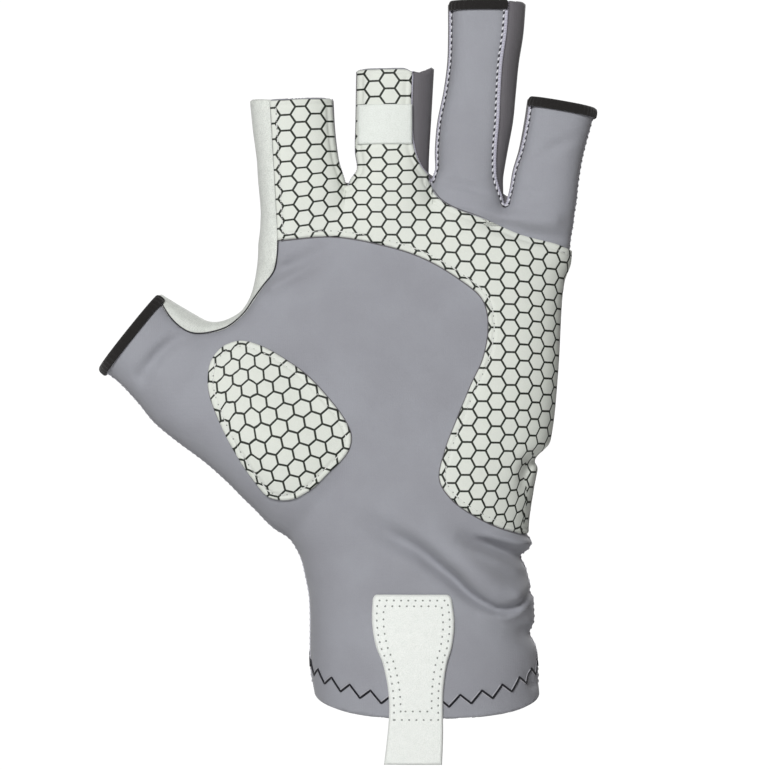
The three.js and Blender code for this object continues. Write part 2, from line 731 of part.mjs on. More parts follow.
/** The band across the front of the middle finger, on top of the grip cloth. */
function fingerBand() {
  const lift = 2 * SEAM_GAP + PATCH_CLOTH;
  const top = PALM_LENGTH + MIDDLE_LENGTH - BAND_DROP;
  const left = edge(MIDDLE, -1, top) + STRIP_EDGE;
  const outline = [
    new THREE.Vector2(left, top - BAND_HEIGHT),
    new THREE.Vector2(left + BAND_WIDTH, top - BAND_HEIGHT),
    new THREE.Vector2(left + BAND_WIDTH, top),
    new THREE.Vector2(left, top),
  ];
  const sleeve = grown(MIDDLE, lift + BAND_CLOTH).subtract(grown(MIDDLE, lift));
  return sleeve.intersect(prism(outline, -PALM_DEPTH, 0));
}

/** The pull tab: it lies on the front of the cuff and hangs past its edge. */
function pullTab() {
  const centre = TAB_ACROSS * HAND_WIDTH;
  const drop = (row) => TAB_LENGTH - TAB_HANG - row.at * TAB_LENGTH;
  const left = TAB_ROWS.map((row) => new THREE.Vector2(centre - row.left * TAB_WIDTH, drop(row)));
  const right = TAB_ROWS.map((row) => new THREE.Vector2(centre + row.right * TAB_WIDTH, drop(row)));
  const outline = [...left, ...right.reverse()];
  const sleeve = grown(PALM, SEAM_GAP + TAB_CLOTH).subtract(grown(PALM, SEAM_GAP));
  return sleeve.intersect(prism(outline, -2 * PALM_DEPTH, -PALM_DEPTH / 4));
}

/** A collar along the rim of one opening, between an outer and an inner surface of its tube. */
function collar(part, outer, inner, reach, past) {
  const end = part.section(1);
  const start = part.section(1 - reach / part.length);
  const drift = (end.centre - start.centre) / reach;
  const last = { ...end, along: end.along + past, centre: end.centre + drift * past };
  const below = { ...start, along: start.along - 1 };
  const above = { ...last, along: last.along + 1 };
  const body = tube(part.path, [start, end, last], part.sides, outer);
  return body.subtract(tube(part.path, [below, start, end, last, above], part.sides, inner));
}

/** A binding folded over the rim of one opening: outside, over the top and inside. */
function binding(part) {
  const clear = SEAM_GAP + BINDING_CLOTH;
  const tape = collar(part, clear, -FABRIC - clear, BINDING_HEIGHT, clear);
  const rimRoom = collar(part, SEAM_GAP, -FABRIC - SEAM_GAP, BINDING_HEIGHT + 1, SEAM_GAP);
  return tape.subtract(rimRoom);
}

/** A finished solid as a named mesh with its own material. */
function piece(name, body, colour, roughness) {
  const data = body.getMesh();
  const geometry = new THREE.BufferGeometry();
  geometry.setAttribute("position", new THREE.BufferAttribute(Float32Array.from(data.vertProperties), 3));
  geometry.setIndex(new THREE.BufferAttribute(Uint32Array.from(data.triVerts), 1));
  geometry.computeVertexNormals();
  const material = new THREE.MeshStandardMaterial({ color: colour, roughness, metalness: 0 });
  const mesh = new THREE.Mesh(geometry, material);
  mesh.name = name;
  return mesh;
}

const GREY = 0x929498;
const SHADOW_GREY = 0x6c6a6c;
const OFF_WHITE = 0xd6dcd4;
const PRINT_WHITE = 0xd8dcd4;
const BLACK = 0x201e1d;

const whole = cloth();
const inRooms = stripRooms(-SEAM_GAP / 2);
const outRooms = stripRooms(SEAM_GAP / 2);
const panels = Object.values(outRooms).reduce((rest, room) => rest.subtract(room), whole);
const front = halfSpace(-1);
const back = halfSpace(1);
const gripSheet = layer(SEAM_GAP, PATCH_CLOTH);
const ringBinding = binding(RING).subtract(outRooms.middleRing).subtract(outRooms.ringLittle);

const glove = new THREE.Group();
glove.name = "fishing_glove";
glove.add(
  piece("palm_panel", panels.intersect(front), GREY, 0.85),
  piece("back_panel", panels.intersect(back), GREY, 0.85),
  piece("gusset_thumb_index", whole.intersect(inRooms.thumbIndex), OFF_WHITE, 0.9),
  piece("gusset_index_middle", whole.intersect(inRooms.indexMiddle), SHADOW_GREY, 0.85),
  piece("gusset_middle_ring", whole.intersect(inRooms.middleRing), SHADOW_GREY, 0.85),
  piece("gusset_ring_little", whole.intersect(inRooms.ringLittle), SHADOW_GREY, 0.85),
  piece("grip_patch_palm", palmPatch(gripSheet, outRooms), PRINT_WHITE, 0.6),
  piece(
    "grip_patch_thumb",
    gripSheet.intersect(prism(smoothEdge(THUMB_PATCH_EDGE, true, 22), -2 * PALM_DEPTH, 0)),
    PRINT_WHITE,
    0.6,
  ),
  piece("middle_finger_band", fingerBand(), OFF_WHITE, 0.8),
  piece("thumb_binding", binding(THUMB).subtract(outRooms.thumbIndex), BLACK, 0.9),
  piece("ring_binding_front", ringBinding.intersect(front), BLACK, 0.9),
  piece("ring_binding_back", ringBinding.intersect(back), BLACK, 0.9),
  piece("little_binding", binding(LITTLE).subtract(outRooms.ringLittle), BLACK, 0.9),
  piece("pull_tab", pullTab(), OFF_WHITE, 0.85),
);

export default glove;
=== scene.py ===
"""Dresses a fingerless fishing glove: cloth panels, strips, printed grip cloth, trims and seams.

Shapes are worked out in millimetres in the frame of the solids, and scaled to metres as they become
meshes. +Z points to the fingertips, the palm faces -Y and the thumb points to -X.
"""

import json
import logging
import math
from dataclasses import dataclass, field
from enum import Enum
from typing import Callable

import bpy
import numpy as np
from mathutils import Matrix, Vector

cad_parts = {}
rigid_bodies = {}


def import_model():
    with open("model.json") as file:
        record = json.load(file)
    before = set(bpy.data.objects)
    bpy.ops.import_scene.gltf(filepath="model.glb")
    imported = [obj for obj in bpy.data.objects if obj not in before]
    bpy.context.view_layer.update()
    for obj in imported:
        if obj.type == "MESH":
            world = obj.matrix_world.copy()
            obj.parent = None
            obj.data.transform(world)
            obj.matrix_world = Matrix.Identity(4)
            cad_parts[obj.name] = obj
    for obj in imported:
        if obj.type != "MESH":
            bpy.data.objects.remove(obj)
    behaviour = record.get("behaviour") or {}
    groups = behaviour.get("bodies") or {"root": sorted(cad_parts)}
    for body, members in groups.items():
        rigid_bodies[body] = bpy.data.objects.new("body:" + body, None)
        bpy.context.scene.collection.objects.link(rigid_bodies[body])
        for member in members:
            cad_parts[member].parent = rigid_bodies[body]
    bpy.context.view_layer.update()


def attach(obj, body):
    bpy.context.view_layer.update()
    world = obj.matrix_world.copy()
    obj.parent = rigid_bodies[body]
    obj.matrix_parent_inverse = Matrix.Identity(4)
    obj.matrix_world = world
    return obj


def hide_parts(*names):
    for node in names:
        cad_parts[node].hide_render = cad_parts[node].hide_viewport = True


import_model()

LOG = logging.getLogger("glove")
METRES = 0.001
Array = np.ndarray
Part = tuple[Array, list[Array]]
Socket = bpy.types.NodeSocket
Colour = tuple[float, float, float, float]
Triple = tuple[float, float, float]

# Driving sizes, the same as the solids have, but for STRIP_DROP: the crotches are sharper here.
FABRIC = 1.2
HAND_WIDTH = 94.0
PALM_LENGTH = 164.0
PALM_DEPTH = 30.0
CUFF_TILT = 15.4
INDEX_LENGTH = 25.0
MIDDLE_LENGTH = 34.2
RING_LENGTH = 54.9
LITTLE_LENGTH = 23.8
INDEX_WIDTH = 26.0
MIDDLE_WIDTH = 24.2
RING_WIDTH = 24.2
LITTLE_WIDTH = 20.8
FINGER_DEPTH = 20.0
LITTLE_TILT = 10.0
THUMB_LENGTH = 79.2
THUMB_WIDTH = 33.0
THUMB_DEPTH = 24.0
THUMB_ANGLE = 51.3
STRIP_EDGE = 0.8
STRIP_DROP = 0.6
BEYOND = 10.0

# Where the side seams lie on the back, and how far up a seam its inset grows.
BACK_INSET = 2.9
INSET_GROWTH = 14.0
# A depth outside the cloth everywhere.
FAR_OUT = 34.0
# The powers of the fingers' and the thumb's sections.
FINGER_POWER = 2.5
THUMB_POWER = 2.3

# Sections of the tubes. at is a share of the tube's length.
PALM_ROWS = """
at     left  right front back power
-0.140 0.356 0.380 0.80  0.76 2.4
0.000  0.356 0.380 0.80  0.76 2.4
0.079  0.376 0.371 0.79  0.73 2.4
0.210  0.380 0.354 0.74  0.66 2.4
0.262  0.396 0.335 0.71  0.62 2.4
0.295  0.412 0.342 0.69  0.60 2.4
0.343  0.457 0.332 0.67  0.57 2.5
0.399  0.489 0.343 0.65  0.54 2.6
0.463  0.506 0.366 0.61  0.51 2.7
0.512  0.518 0.404 0.59  0.49 2.7
0.640  0.540 0.429 0.54  0.46 2.8
0.780  0.541 0.443 0.49  0.44 2.8
0.853  0.536 0.460 0.44  0.41 2.8
0.890  0.534 0.454 0.40  0.38 2.6
0.920  0.532 0.472 0.36  0.35 2.4
0.950  0.525 0.465 0.31  0.31 2.4
"""
WEB_ROWS = """
at    left  right front back power
0.590 0.600 0.200 0.28  0.26 2.3
0.640 0.630 0.250 0.40  0.34 2.3
0.690 0.662 0.300 0.40  0.35 2.3
0.722 0.676 0.320 0.37  0.34 2.3
0.740 0.640 0.300 0.36  0.33 2.3
0.759 0.602 0.260 0.36  0.33 2.3
0.796 0.565 0.230 0.35  0.32 2.3
0.853 0.540 0.210 0.34  0.31 2.3
0.900 0.537 0.210 0.33  0.30 2.3
"""
INDEX_ROWS = """
at    centre wide  deep
-1.20 -0.385 0.980 0.70
-0.65 -0.389 1.060 0.98
-0.22 -0.396 1.073 1.04
0.03  -0.406 1.046 1.02
0.27  -0.418 0.988 1.00
0.63  -0.431 0.985 0.99
1.00  -0.439 1.000 0.98
"""
MIDDLE_ROWS = """
at    centre wide  deep
-0.80 -0.120 1.100 0.80
-0.40 -0.122 1.240 1.06
-0.16 -0.122 1.231 1.08
0.02  -0.114 1.040 1.04
0.11  -0.107 0.935 1.02
0.28  -0.109 0.963 1.00
0.55  -0.105 0.975 1.00
1.00  -0.099 1.000 0.98
"""
RING_ROWS = """
at    centre wide  deep
-0.50 0.134  1.000 0.80
-0.26 0.135  1.000 1.06
-0.10 0.136  0.971 1.06
0.01  0.138  0.930 1.02
0.07  0.146  0.901 1.00
0.18  0.152  0.942 0.98
0.34  0.165  0.975 0.98
0.51  0.180  0.934 0.97
0.67  0.191  0.921 0.97
0.83  0.200  0.967 0.98
1.00  0.204  1.000 0.98
"""
LITTLE_ROWS = """
at    centre wide  deep
-1.20 0.352  1.020 0.66
-0.60 0.360  1.120 0.92
-0.22 0.383  1.050 0.96
-0.09 0.389  1.020 0.95
0.15  0.399  1.005 0.94
0.40  0.415  0.962 0.92
0.75  0.435  0.971 0.91
1.00  0.448  1.000 0.90
"""
THUMB_ROWS = """
at   lower upper front back
0.00 0.400 0.400 0.42  0.30
0.08 0.560 0.500 0.66  0.42
0.20 0.570 0.560 0.78  0.48
0.35 0.533 0.580 0.78  0.50
0.46 0.521 0.600 0.73  0.50
0.60 0.533 0.600 0.65  0.50
0.71 0.527 0.560 0.57  0.49
0.81 0.476 0.515 0.52  0.48
0.92 0.440 0.475 0.48  0.46
1.00 0.452 0.452 0.46  0.46
"""

# Folds of the front, in millimetres. Rows with the same number are the corners of one fold's line.
# Along it go how far the cloth sinks, less than 0 where it swells, and how wide the bell is.
FOLD_ROWS = """
fold x     z     sink wide
1    -20.5 62.0  0.3  4.5
1    -12.0 56.0  1.9  3.8
1    -2.0  50.5  3.5  3.1
1    3.5   46.0  4.3  2.7
1    8.5   42.0  4.9  2.4
1    13.0  37.5  4.9  2.1
1    17.5  34.5  4.3  1.9
1    22.5  32.2  3.2  1.6
1    28.0  33.2  2.2  1.6
1    32.0  37.0  1.4  1.6
2    -8.0  62.0  -0.4 5.0
2    4.5   54.5  -1.6 5.5
2    15.0  45.0  -3.1 5.0
2    22.5  39.6  -3.8 4.5
2    28.0  37.0  -3.1 3.5
3    17.5  31.4  -0.4 1.3
3    24.0  30.2  -1.3 1.4
3    28.6  31.6  -1.3 1.4
3    32.0  35.0  -0.8 1.3
4    8.5   55.5  0.4  3.2
4    15.0  53.4  2.4  2.7
4    21.0  51.4  3.9  2.2
4    25.0  49.8  4.5  2.0
4    29.5  48.0  4.5  2.0
4    34.0  46.0  3.6  2.0
5    15.0  55.6  -0.4 1.3
5    22.0  54.4  -1.2 1.4
5    27.5  53.2  -1.6 1.6
5    33.0  52.4  -1.6 1.6
6    11.0  51.8  -0.4 1.4
6    17.5  49.6  -1.1 1.4
6    24.0  46.4  -1.0 1.4
6    28.0  44.4  -0.4 1.4
7    38.0  79.5  2.9  2.0
7    32.5  77.5  2.6  2.0
7    30.5  74.0  1.6  2.2
7    29.5  68.5  0.4  2.2
8    -87.0 104.0 2.2  2.4
8    -81.8 110.8 2.7  2.1
8    -77.4 114.6 2.1  2.0
8    -71.5 116.4 0.5  2.0
9    8.0   154.5 0.5  2.2
9    17.0  151.6 1.6  2.2
9    26.0  148.9 3.0  2.2
9    34.0  146.9 3.6  2.0
9    43.0  145.6 3.4  2.0
10   10.0  156.0 -0.4 2.0
10   24.0  153.0 -1.0 2.2
10   40.0  151.4 -1.4 2.6
11   -50.5 133.5 2.5  2.0
11   -44.0 136.6 2.2  2.0
11   -36.0 140.4 1.0  2.2
11   -29.0 143.5 0.3  2.2
12   -47.0 131.0 -1.0 1.8
12   -40.0 134.8 -0.9 1.8
12   -33.0 138.5 -0.3 1.8
13   -76.0 96.0  0.3  3.5
13   -70.0 103.0 1.0  3.2
13   -66.0 112.0 0.4  3.0
14   -22.0 112.0 0.2  3.0
14   -4.0  105.0 0.5  3.0
14   14.0  98.0  0.2  3.0
15   33.0  9.0   1.1  1.4
15   30.5  14.0  0.2  1.4
16   34.0  171.0 0.4  1.8
16   40.0  174.5 1.3  1.6
16   48.0  178.0 0.3  1.8
18   4.0   163.8 0.2  1.3
18   10.0  162.8 1.2  1.3
18   16.0  161.2 1.2  1.3
18   21.0  159.4 0.2  1.3
19   26.0  160.4 0.2  1.2
19   30.0  160.9 1.1  1.2
19   35.0  160.0 0.2  1.2
17   24.0  27.0  0.6  4.0
17   31.0  24.5  2.2  3.0
17   35.0  24.0  2.4  2.6
"""

# The seam of the thumb strip on the front, from the index finger's opening to the thumb's.
THUMB_SEAM = """
x     z
-48.2 196.0
-47.7 188.0
-46.8 173.4
-46.1 161.0
-45.4 146.0
-45.6 141.0
-46.6 136.2
-49.8 132.0
-53.2 127.4
-55.6 123.8
-58.2 121.2
-60.8 119.2
-65.0 117.7
-69.4 117.0
-72.5 117.4
-75.6 119.2
-78.6 122.2
-81.3 126.4
-84.6 133.0
"""

# How the bare rims of two fingers rise and dip: places across the hand, and heights there.
INDEX_RIM = ((-54.0, -48.0, -38.0, -28.0), (-0.2, -0.5, 0.0, 0.3))
MIDDLE_RIM = ((-22.0, -6.0, -4.3, -1.5, 1.0, 2.8), (-0.1, 0.0, -0.8, -1.3, -0.3, 0.7))

# The grip cloth's outlines on the front, in millimetres.
PATCH_LOWER_EDGE = """
x     z
-44.6 145.6
-28.4 146.7
-14.9 144.5
-1.5  140.4
10.2  133.7
17.6  127.2
19.3  119.2
17.6  109.1
14.2  101.7
9.3   89.9
6.0   81.2
4.3   72.0
8.3   65.9
13.6  62.0
21.6  57.9
30.1  55.1
"""
PATCH_UPPER_EDGE = """
x    z
44.2 143.0
40.9 144.3
29.2 147.4
19.4 151.7
8.7  155.6
3.8  158.9
0.6  164.0
"""
THUMB_PATCH_EDGE = """
x     z
-56.5 114.6
-50.3 113.0
-42.5 108.6
-36.3 104.0
-30.0 97.4
-24.6 90.2
-22.7 85.3
-23.9 80.4
-29.3 74.6
-35.3 69.0
-41.4 66.1
-47.8 66.9
-52.3 71.8
-58.5 81.0
-63.6 91.2
-66.5 100.4
-65.8 108.2
-62.1 112.8
"""


# The pull tab's edges, in shares of its width. at is a share of its length.
TAB_ROWS = """
at    left  right
0.000 0.450 0.435
0.010 0.475 0.465
0.030 0.492 0.488
0.170 0.500 0.520
0.300 0.455 0.490
0.410 0.366 0.425
0.560 0.303 0.382
0.700 0.290 0.377
0.850 0.315 0.377
1.000 0.352 0.364
"""

# The profile of a binding: how far out from the cloth and how far past its cut edge.
BINDING_ROWS = """
out   past
0.10  -1.2
0.15  -2.2
0.70  -2.25
0.95  -1.9
1.00  -1.1
0.90  -0.2
0.60  0.45
0.05  0.80
-0.60 0.88
-1.25 0.80
-1.80 0.45
-2.10 -0.2
-2.20 -1.1
-2.15 -1.9
-1.90 -2.25
-1.35 -2.2
-1.30 -1.2
-1.30 0.1
-0.60 0.2
0.10  0.1
"""

# Centres of printed hexagons on the front, and their columns and rows in the net.
PALM_NET = """
x     z     column row
-43.0 181.7 0      5
-42.8 167.4 0      2
-41.7 149.5 0      -2
-33.6 182.2 2      5
-33.3 168.2 2      2
-32.8 159.8 2      0
-28.4 153.7 3      -1.5
-24.0 161.1 4      0
-15.7 192.2 6      7
-15.0 168.6 6      2
-15.0 160.7 6      0
-15.0 152.0 6      -2
-5.2  169.2 8      2
-5.8  147.1 8      -3
3.1   156.5 10     -1
3.3   142.1 10     -4
12.6  151.1 12     -2
12.1  136.4 12     -5
21.6  146.0 14     -3
21.3  126.0 14     -7
30.5  140.2 16     -4
30.3  121.0 16     -8
38.4  134.3 18     -5
37.7  115.3 18     -9
37.1  95.6  18     -13
30.3  101.1 16     -12
21.8  101.1 14     -12
21.2  81.0  14     -16
12.5  81.2  12     -16
29.2  80.8  16     -16
35.7  85.4  18     -15
11.5  66.2  12     -19
19.4  61.3  14     -20
26.1  61.8  16     -20
7.9   73.7  11     -17.5
"""
THUMB_NET = """
x     z     column row
-48.1 91.8  0      0
-42.2 105.9 0      3
-52.7 76.9  0      -3
-64.2 104.6 -5     1.5
-61.7 109.0 -5     2.5
-59.0 84.3  -2     -2
-50.0 108.6 -2     3
-45.6 69.6  2      -4
-35.7 98.8  2      2
-40.7 71.0  3      -3.5
-29.2 91.2  4      1
-29.6 77.8  5      -1.5
"""


def columns(text: str) -> dict[str, Array]:
    """Reads a table of numbers under a row of column names.

    Args:
        text: The table, a row to a line.

    Returns:
        The columns by name.
    """
    head, *rows = text.split("\n")[1:-1]
    values = np.array([[float(v) for v in row.split()] for row in rows])
    return dict(zip(head.split(), values.T))


def smooth_table(text: str, count: int = 240) -> dict[str, Array]:
    """A table sampled finely on cubic curves through its rows.

    Between two rows a column follows the cubic whose slopes at them are those of the lines through
    the rows on either side.

    Args:
        text: A table whose first column is at.
        count: How many samples.

    Returns:
        The sampled columns by name, at included.
    """
    table = columns(text)
    at = table["at"]
    dense = np.linspace(at[0], at[-1], count)
    k = np.clip(np.searchsorted(at, dense, side="left") - 1, 0, len(at) - 2)
    span = at[k + 1] - at[k]
    t = (dense - at[k]) / span
    before, after = np.maximum(k - 1, 0), np.minimum(k + 2, len(at) - 1)
    result = {"at": dense}
    for name, column in table.items():
        if name == "at":
            continue
        start, end = column[k], column[k + 1]
        slope_in = (end - column[before]) / (at[k + 1] - at[before]) * span
        slope_out = (column[after] - start) / (at[after] - at[k]) * span
        result[name] = (
            start * (2 * t**3 - 3 * t**2 + 1)
            + end * (3 * t**2 - 2 * t**3)
            + slope_in * (t**3 - 2 * t**2 + t)
            + slope_out * (t**3 - t**2)
        )
    return result


def smoothstep(value: Array, low: float, high: float) -> Array:
    """Rises smoothly from 0 at low to 1 at high."""
    t = np.clip((value - low) / (high - low), 0.0, 1.0)
    return t * t * (3 - 2 * t)


def quarter_round(inset: Array, reach: float) -> Array:
    """The height of a rounded edge: 0 at no inset, and 1 from an inset of reach on."""
    return np.sqrt(1 - (1 - np.clip(inset / reach, 0, 1)) ** 2)


def soft_min(a: Array, b: Array, reach: float) -> Array:
    """The lesser of two distances, rounded off where they differ by less than reach."""
    h = np.maximum(reach - np.abs(a - b), 0.0) / reach
    return np.minimum(a, b) - h * h * reach / 4


def halved(outside: Callable[[Array], Array], inner: Array, outer: Array) -> Array:
    """Places on a surface, found by halving the stretches between an inner and an outer end.

    Args:
        outside: Tells which of the places tried are outside.
        inner: The inner ends.
        outer: The outer ends.

    Returns:
        The middles of what is left of the stretches.
    """
    for _ in range(26):
        middle = (inner + outer) / 2
        out = outside(middle)
        inner, outer = np.where(out, inner, middle), np.where(out, middle, outer)
    return (inner + outer) / 2


def unit(vectors: Array) -> Array:
    """Vectors, a row each, scaled to a length of 1."""
    return vectors / np.maximum(np.linalg.norm(vectors, axis=1, keepdims=True), 1e-9)


def run_lengths(points: Array, power: float = 1.0) -> Array:
    """How far along a polyline its points are, where each stretch counts by a power of it."""
    stretches = np.linalg.norm(np.diff(points, axis=0), axis=1) ** power
    return np.concatenate([[0], np.cumsum(stretches)])


def sampled(places: Array, run: Array, grid: Array) -> Array:
    """The rows of a grid at places between them."""
    return np.stack([np.interp(places, run, column) for column in grid.T], axis=1)


def even(points: Array, step: float) -> Array:
    """Samples of a polyline at about equal steps.

    Args:
        points: The polyline's points, close together.
        step: The distance between samples.

    Returns:
        The samples, the two ends included.
    """
    run = run_lengths(points)
    return sampled(np.linspace(0, run[-1], max(2, round(run[-1] / step) + 1)), run, points)


def smooth_path(points: Array, step: float, closed: bool = False) -> Array:
    """A centripetal Catmull-Rom curve through points, sampled evenly.

    Args:
        points: The points, a row each, in two or three dimensions.
        step: The distance between samples.
        closed: Whether the curve returns to its first point.

    Returns:
        The samples. The last one of a closed curve is its first one again.
    """
    if closed:
        ring = np.vstack([points[-1:], points, points[:2]])
    else:
        ring = np.vstack([2 * points[:1] - points[1:2], points, 2 * points[-1:] - points[-2:-1]])
    knots = run_lengths(ring, 0.5)
    fine = np.linspace(knots[1], knots[-2], 40 * len(ring))
    k = np.clip(np.searchsorted(knots, fine, side="right") - 1, 1, len(ring) - 3)
    t = fine[:, None]
    p0, p1, p2, p3 = (ring[k + i] for i in (-1, 0, 1, 2))
    t0, t1, t2, t3 = (knots[k + i][:, None] for i in (-1, 0, 1, 2))

    def between(a: Array, b: Array, start: Array, end: Array) -> Array:
        """The mix of two points at t."""
        return ((end - t) * a + (t - start) * b) / (end - start)

    a1, a2, a3 = between(p0, p1, t0, t1), between(p1, p2, t1, t2), between(p2, p3, t2, t3)
    b1, b2 = between(a1, a2, t0, t2), between(a2, a3, t1, t3)
    return even(between(b1, b2, t1, t2), step)


def table_curve(text: str, closed: bool = False) -> Array:
    """The smooth curve through a table's x and z."""
    return smooth_path(np.stack(list(columns(text).values()), axis=1), 1.5, closed)


def outline_distance(x: Array, z: Array, outline: Array) -> Array:
    """Signed distance of places in the plane of the hand to a closed outline, less than 0 inside.

    The distance is that to the nearest of its edges, and a place is inside where a ray from it
    crosses an odd number of edges.

    Args:
        x: The places' x.
        z: The places' z.
        outline: The outline's corners, a row each.

    Returns:
        A distance for each place.
    """
    nearest = np.full(x.shape, np.inf)
    inside = np.zeros(x.shape, bool)
    for (ax, az), (bx, bz) in zip(outline, np.roll(outline, -1, axis=0)):
        ex, ez = bx - ax, bz - az
        t = np.clip(((x - ax) * ex + (z - az) * ez) / max(ex * ex + ez * ez, 1e-12), 0, 1)
        nearest = np.minimum(nearest, (x - ax - t * ex) ** 2 + (z - az - t * ez) ** 2)
        if az != bz:
            inside ^= ((az > z) != (bz > z)) & (x < ex * (z - az) / ez + ax)
    return np.where(inside, -1.0, 1.0) * np.sqrt(nearest)


def line_distance(x: Array, z: Array, line: Array) -> tuple[Array, Array]:
    """How far places are from a line of straight stretches, and where along it they are nearest.

    Args:
        x: The places' x.
        z: The places' z.
        line: The line's corners, a row each.

    Returns:
        The distance, and the place along the line counted in stretches.
    """
    shape = np.broadcast(x, z).shape
    nearest, along = np.full(shape, np.inf), np.zeros(shape)
    for number, ((ax, az), (bx, bz)) in enumerate(zip(line[:-1], line[1:])):
        ex, ez = bx - ax, bz - az
        t = np.clip(((x - ax) * ex + (z - az) * ez) / (ex * ex + ez * ez), 0, 1)
        reach = np.hypot(x - ax - t * ex, z - az - t * ez)
        along = np.where(reach < nearest, number + t, along)
        nearest = np.minimum(nearest, reach)
    return nearest, along


@dataclass
class Tube:
    """One tube of the hand form: a line in the plane of the hand and a table of rounded sections.

    A section is a superellipse: |across / half width| and |depth / half depth|, each to the
    section's power, add up to 1 on the surface.

    Attributes:
        length: From the start of the line to the opening or the end.
        rows: Dense columns in millimetres: along, centre, left, right, front, back, power, tilt.
        start: Where the line starts, in x and z.
        lean: The angle that it leans to -X, in degrees.
        open: Whether it runs on past its end, where it is cut open.
        rim: Places across the hand, and how far the cut edge rises above the opening there.
    """

    length: float
    rows: dict[str, Array]
    start: tuple[float, float] = (0.0, 0.0)
    lean: float = 0.0
    open: bool = True
    rim: tuple[tuple[float, ...], tuple[float, ...]] = ((0.0,), (0.0,))

    @property
    def direction(self) -> tuple[float, float]:
        """The sine and the cosine of the lean."""
        return math.sin(math.radians(self.lean)), math.cos(math.radians(self.lean))

    def local(self, x: Array, z: Array) -> tuple[Array, Array]:
        """Places as distances across and along the tube's line.

        Args:
            x: The places' x.
            z: The places' z.

        Returns:
            The distances across and along.
        """
        sine, cosine = self.direction
        dx, dz = x - self.start[0], z - self.start[1]
        return dx * cosine + dz * sine, dz * cosine - dx * sine

    def place(self, across: Array, along: Array) -> tuple[Array, Array]:
        """The x and z of distances across and along the tube's line.

        Args:
            across: The distances across.
            along: Those along.

        Returns:
            The x and the z.
        """
        sine, cosine = self.direction
        x, z = across * cosine - along * sine, across * sine + along * cosine
        return self.start[0] + x, self.start[1] + z

    def column(self, name: str, along: Array) -> Array:
        """One column of the sections at distances along the line."""
        return np.interp(along, self.rows["along"], self.rows[name])

    def section(self, x: Array, z: Array) -> tuple[Array, Array]:
        """The section that places belong to, and how far across they are from its centre.

        Args:
            x: The places' x.
            z: The places' z.

        Returns:
            The distances along the line and across from the centre of the section.
        """
        across, run = self.local(x, z)
        along = run
        if self.rows["tilt"].any():
            for _ in range(3):
                along = run - self.column("tilt", along) * (across - self.column("centre", along))
        return along, across - self.column("centre", along)

    def distance(self, x: Array, y: Array, z: Array) -> Array:
        """The distance to the tube's surface, less than 0 inside.

        The section's power sum, rooted, is 1 on the surface: its excess over 1 is divided by its
        slope. Closed ends are rounded.

        Args:
            x: The places' x.
            y: Their y.
            z: Their z.

        Returns:
            A distance for each place.
        """
        along, across = self.section(x, z)
        wide = np.where(across < 0, self.column("left", along), self.column("right", along))
        deep = np.where(y < 0, self.column("front", along), self.column("back", along))
        power = self.column("power", along)
        u, v = np.maximum(np.abs(across) / wide, 1e-3), np.maximum(np.abs(y) / deep, 1e-3)
        un, vn = u**power, v**power
        total = un + vn
        rho = total ** (1 / power)
        slope = rho / total * np.hypot(un / (u * wide), vn / (v * deep))
        side = (rho - 1) / slope
        first, last = self.rows["along"][0], self.rows["along"][-1]
        past = np.maximum(first - along, -999.0 if self.open else along - last)
        edge = 4.0
        side, past = side + edge, past + edge
        outer = np.hypot(np.maximum(side, 0), np.maximum(past, 0))
        return np.minimum(np.maximum(side, past), 0) + outer - edge


def sections(along: Array, **named: Array | float) -> dict[str, Array]:
    """The columns of a tube's sections, where centre and tilt are 0 if they aren't given."""
    given = {"centre": 0.0, "tilt": 0.0} | named
    return {"along": along} | {name: value + 0 * along for name, value in given.items()}


def closed_tube(text: str) -> Tube:
    """A tube of the palm's kind.

    Args:
        text: Its table, in shares of the palm's sizes.

    Returns:
        The tube.
    """
    rows = smooth_table(text)
    made = sections(
        rows["at"] * PALM_LENGTH,
        left=rows["left"] * HAND_WIDTH,
        right=rows["right"] * HAND_WIDTH,
        front=rows["front"] * PALM_DEPTH,
        back=rows["back"] * PALM_DEPTH,
        power=rows["power"],
    )
    return Tube(length=PALM_LENGTH, rows=made, open=False)


def web_tube() -> Tube:
    """The web in the thumb's crotch: its left edge is tabled and its width lies behind that."""
    tube = closed_tube(WEB_ROWS)
    half = tube.rows["right"] / 2
    tube.rows.update(centre=half - tube.rows["left"], left=half, right=half)
    return tube


def drawn_on(rows: dict[str, Array]) -> dict[str, Array]:
    """Sections continued past the opening, along the line that the last ones follow.

    Args:
        rows: The columns of the sections.

    Returns:
        The columns with one more row.
    """
    last = {name: column[-1:].copy() for name, column in rows.items()}
    drift = (rows["centre"][-1] - rows["centre"][-3]) / (rows["along"][-1] - rows["along"][-3])
    last["along"] += BEYOND
    last["centre"] += drift * BEYOND
    return {name: np.concatenate([column, last[name]]) for name, column in rows.items()}


def finger_tube(text: str, length: float, width: float, tilt: float = 0.0) -> Tube:
    """A finger's tube, whose table is in shares of its length, its width and the hand's width.

    Args:
        text: The table.
        length: From the line of the crotches to the opening.
        width: The finger's width.
        tilt: How far the opening is turned, in degrees.

    Returns:
        The tube.
    """
    rows = smooth_table(text)
    half, deep = rows["wide"] * width / 2, rows["deep"] * FINGER_DEPTH / 2
    turned = -math.tan(math.radians(tilt)) * smoothstep(rows["at"], 0, 1)
    shape = {"left": half, "right": half, "front": deep, "back": deep, "power": FINGER_POWER}
    made = sections(
        rows["at"] * length, centre=rows["centre"] * HAND_WIDTH, tilt=turned, **shape
    )
    return Tube(length=length, rows=drawn_on(made), start=(0.0, PALM_LENGTH))


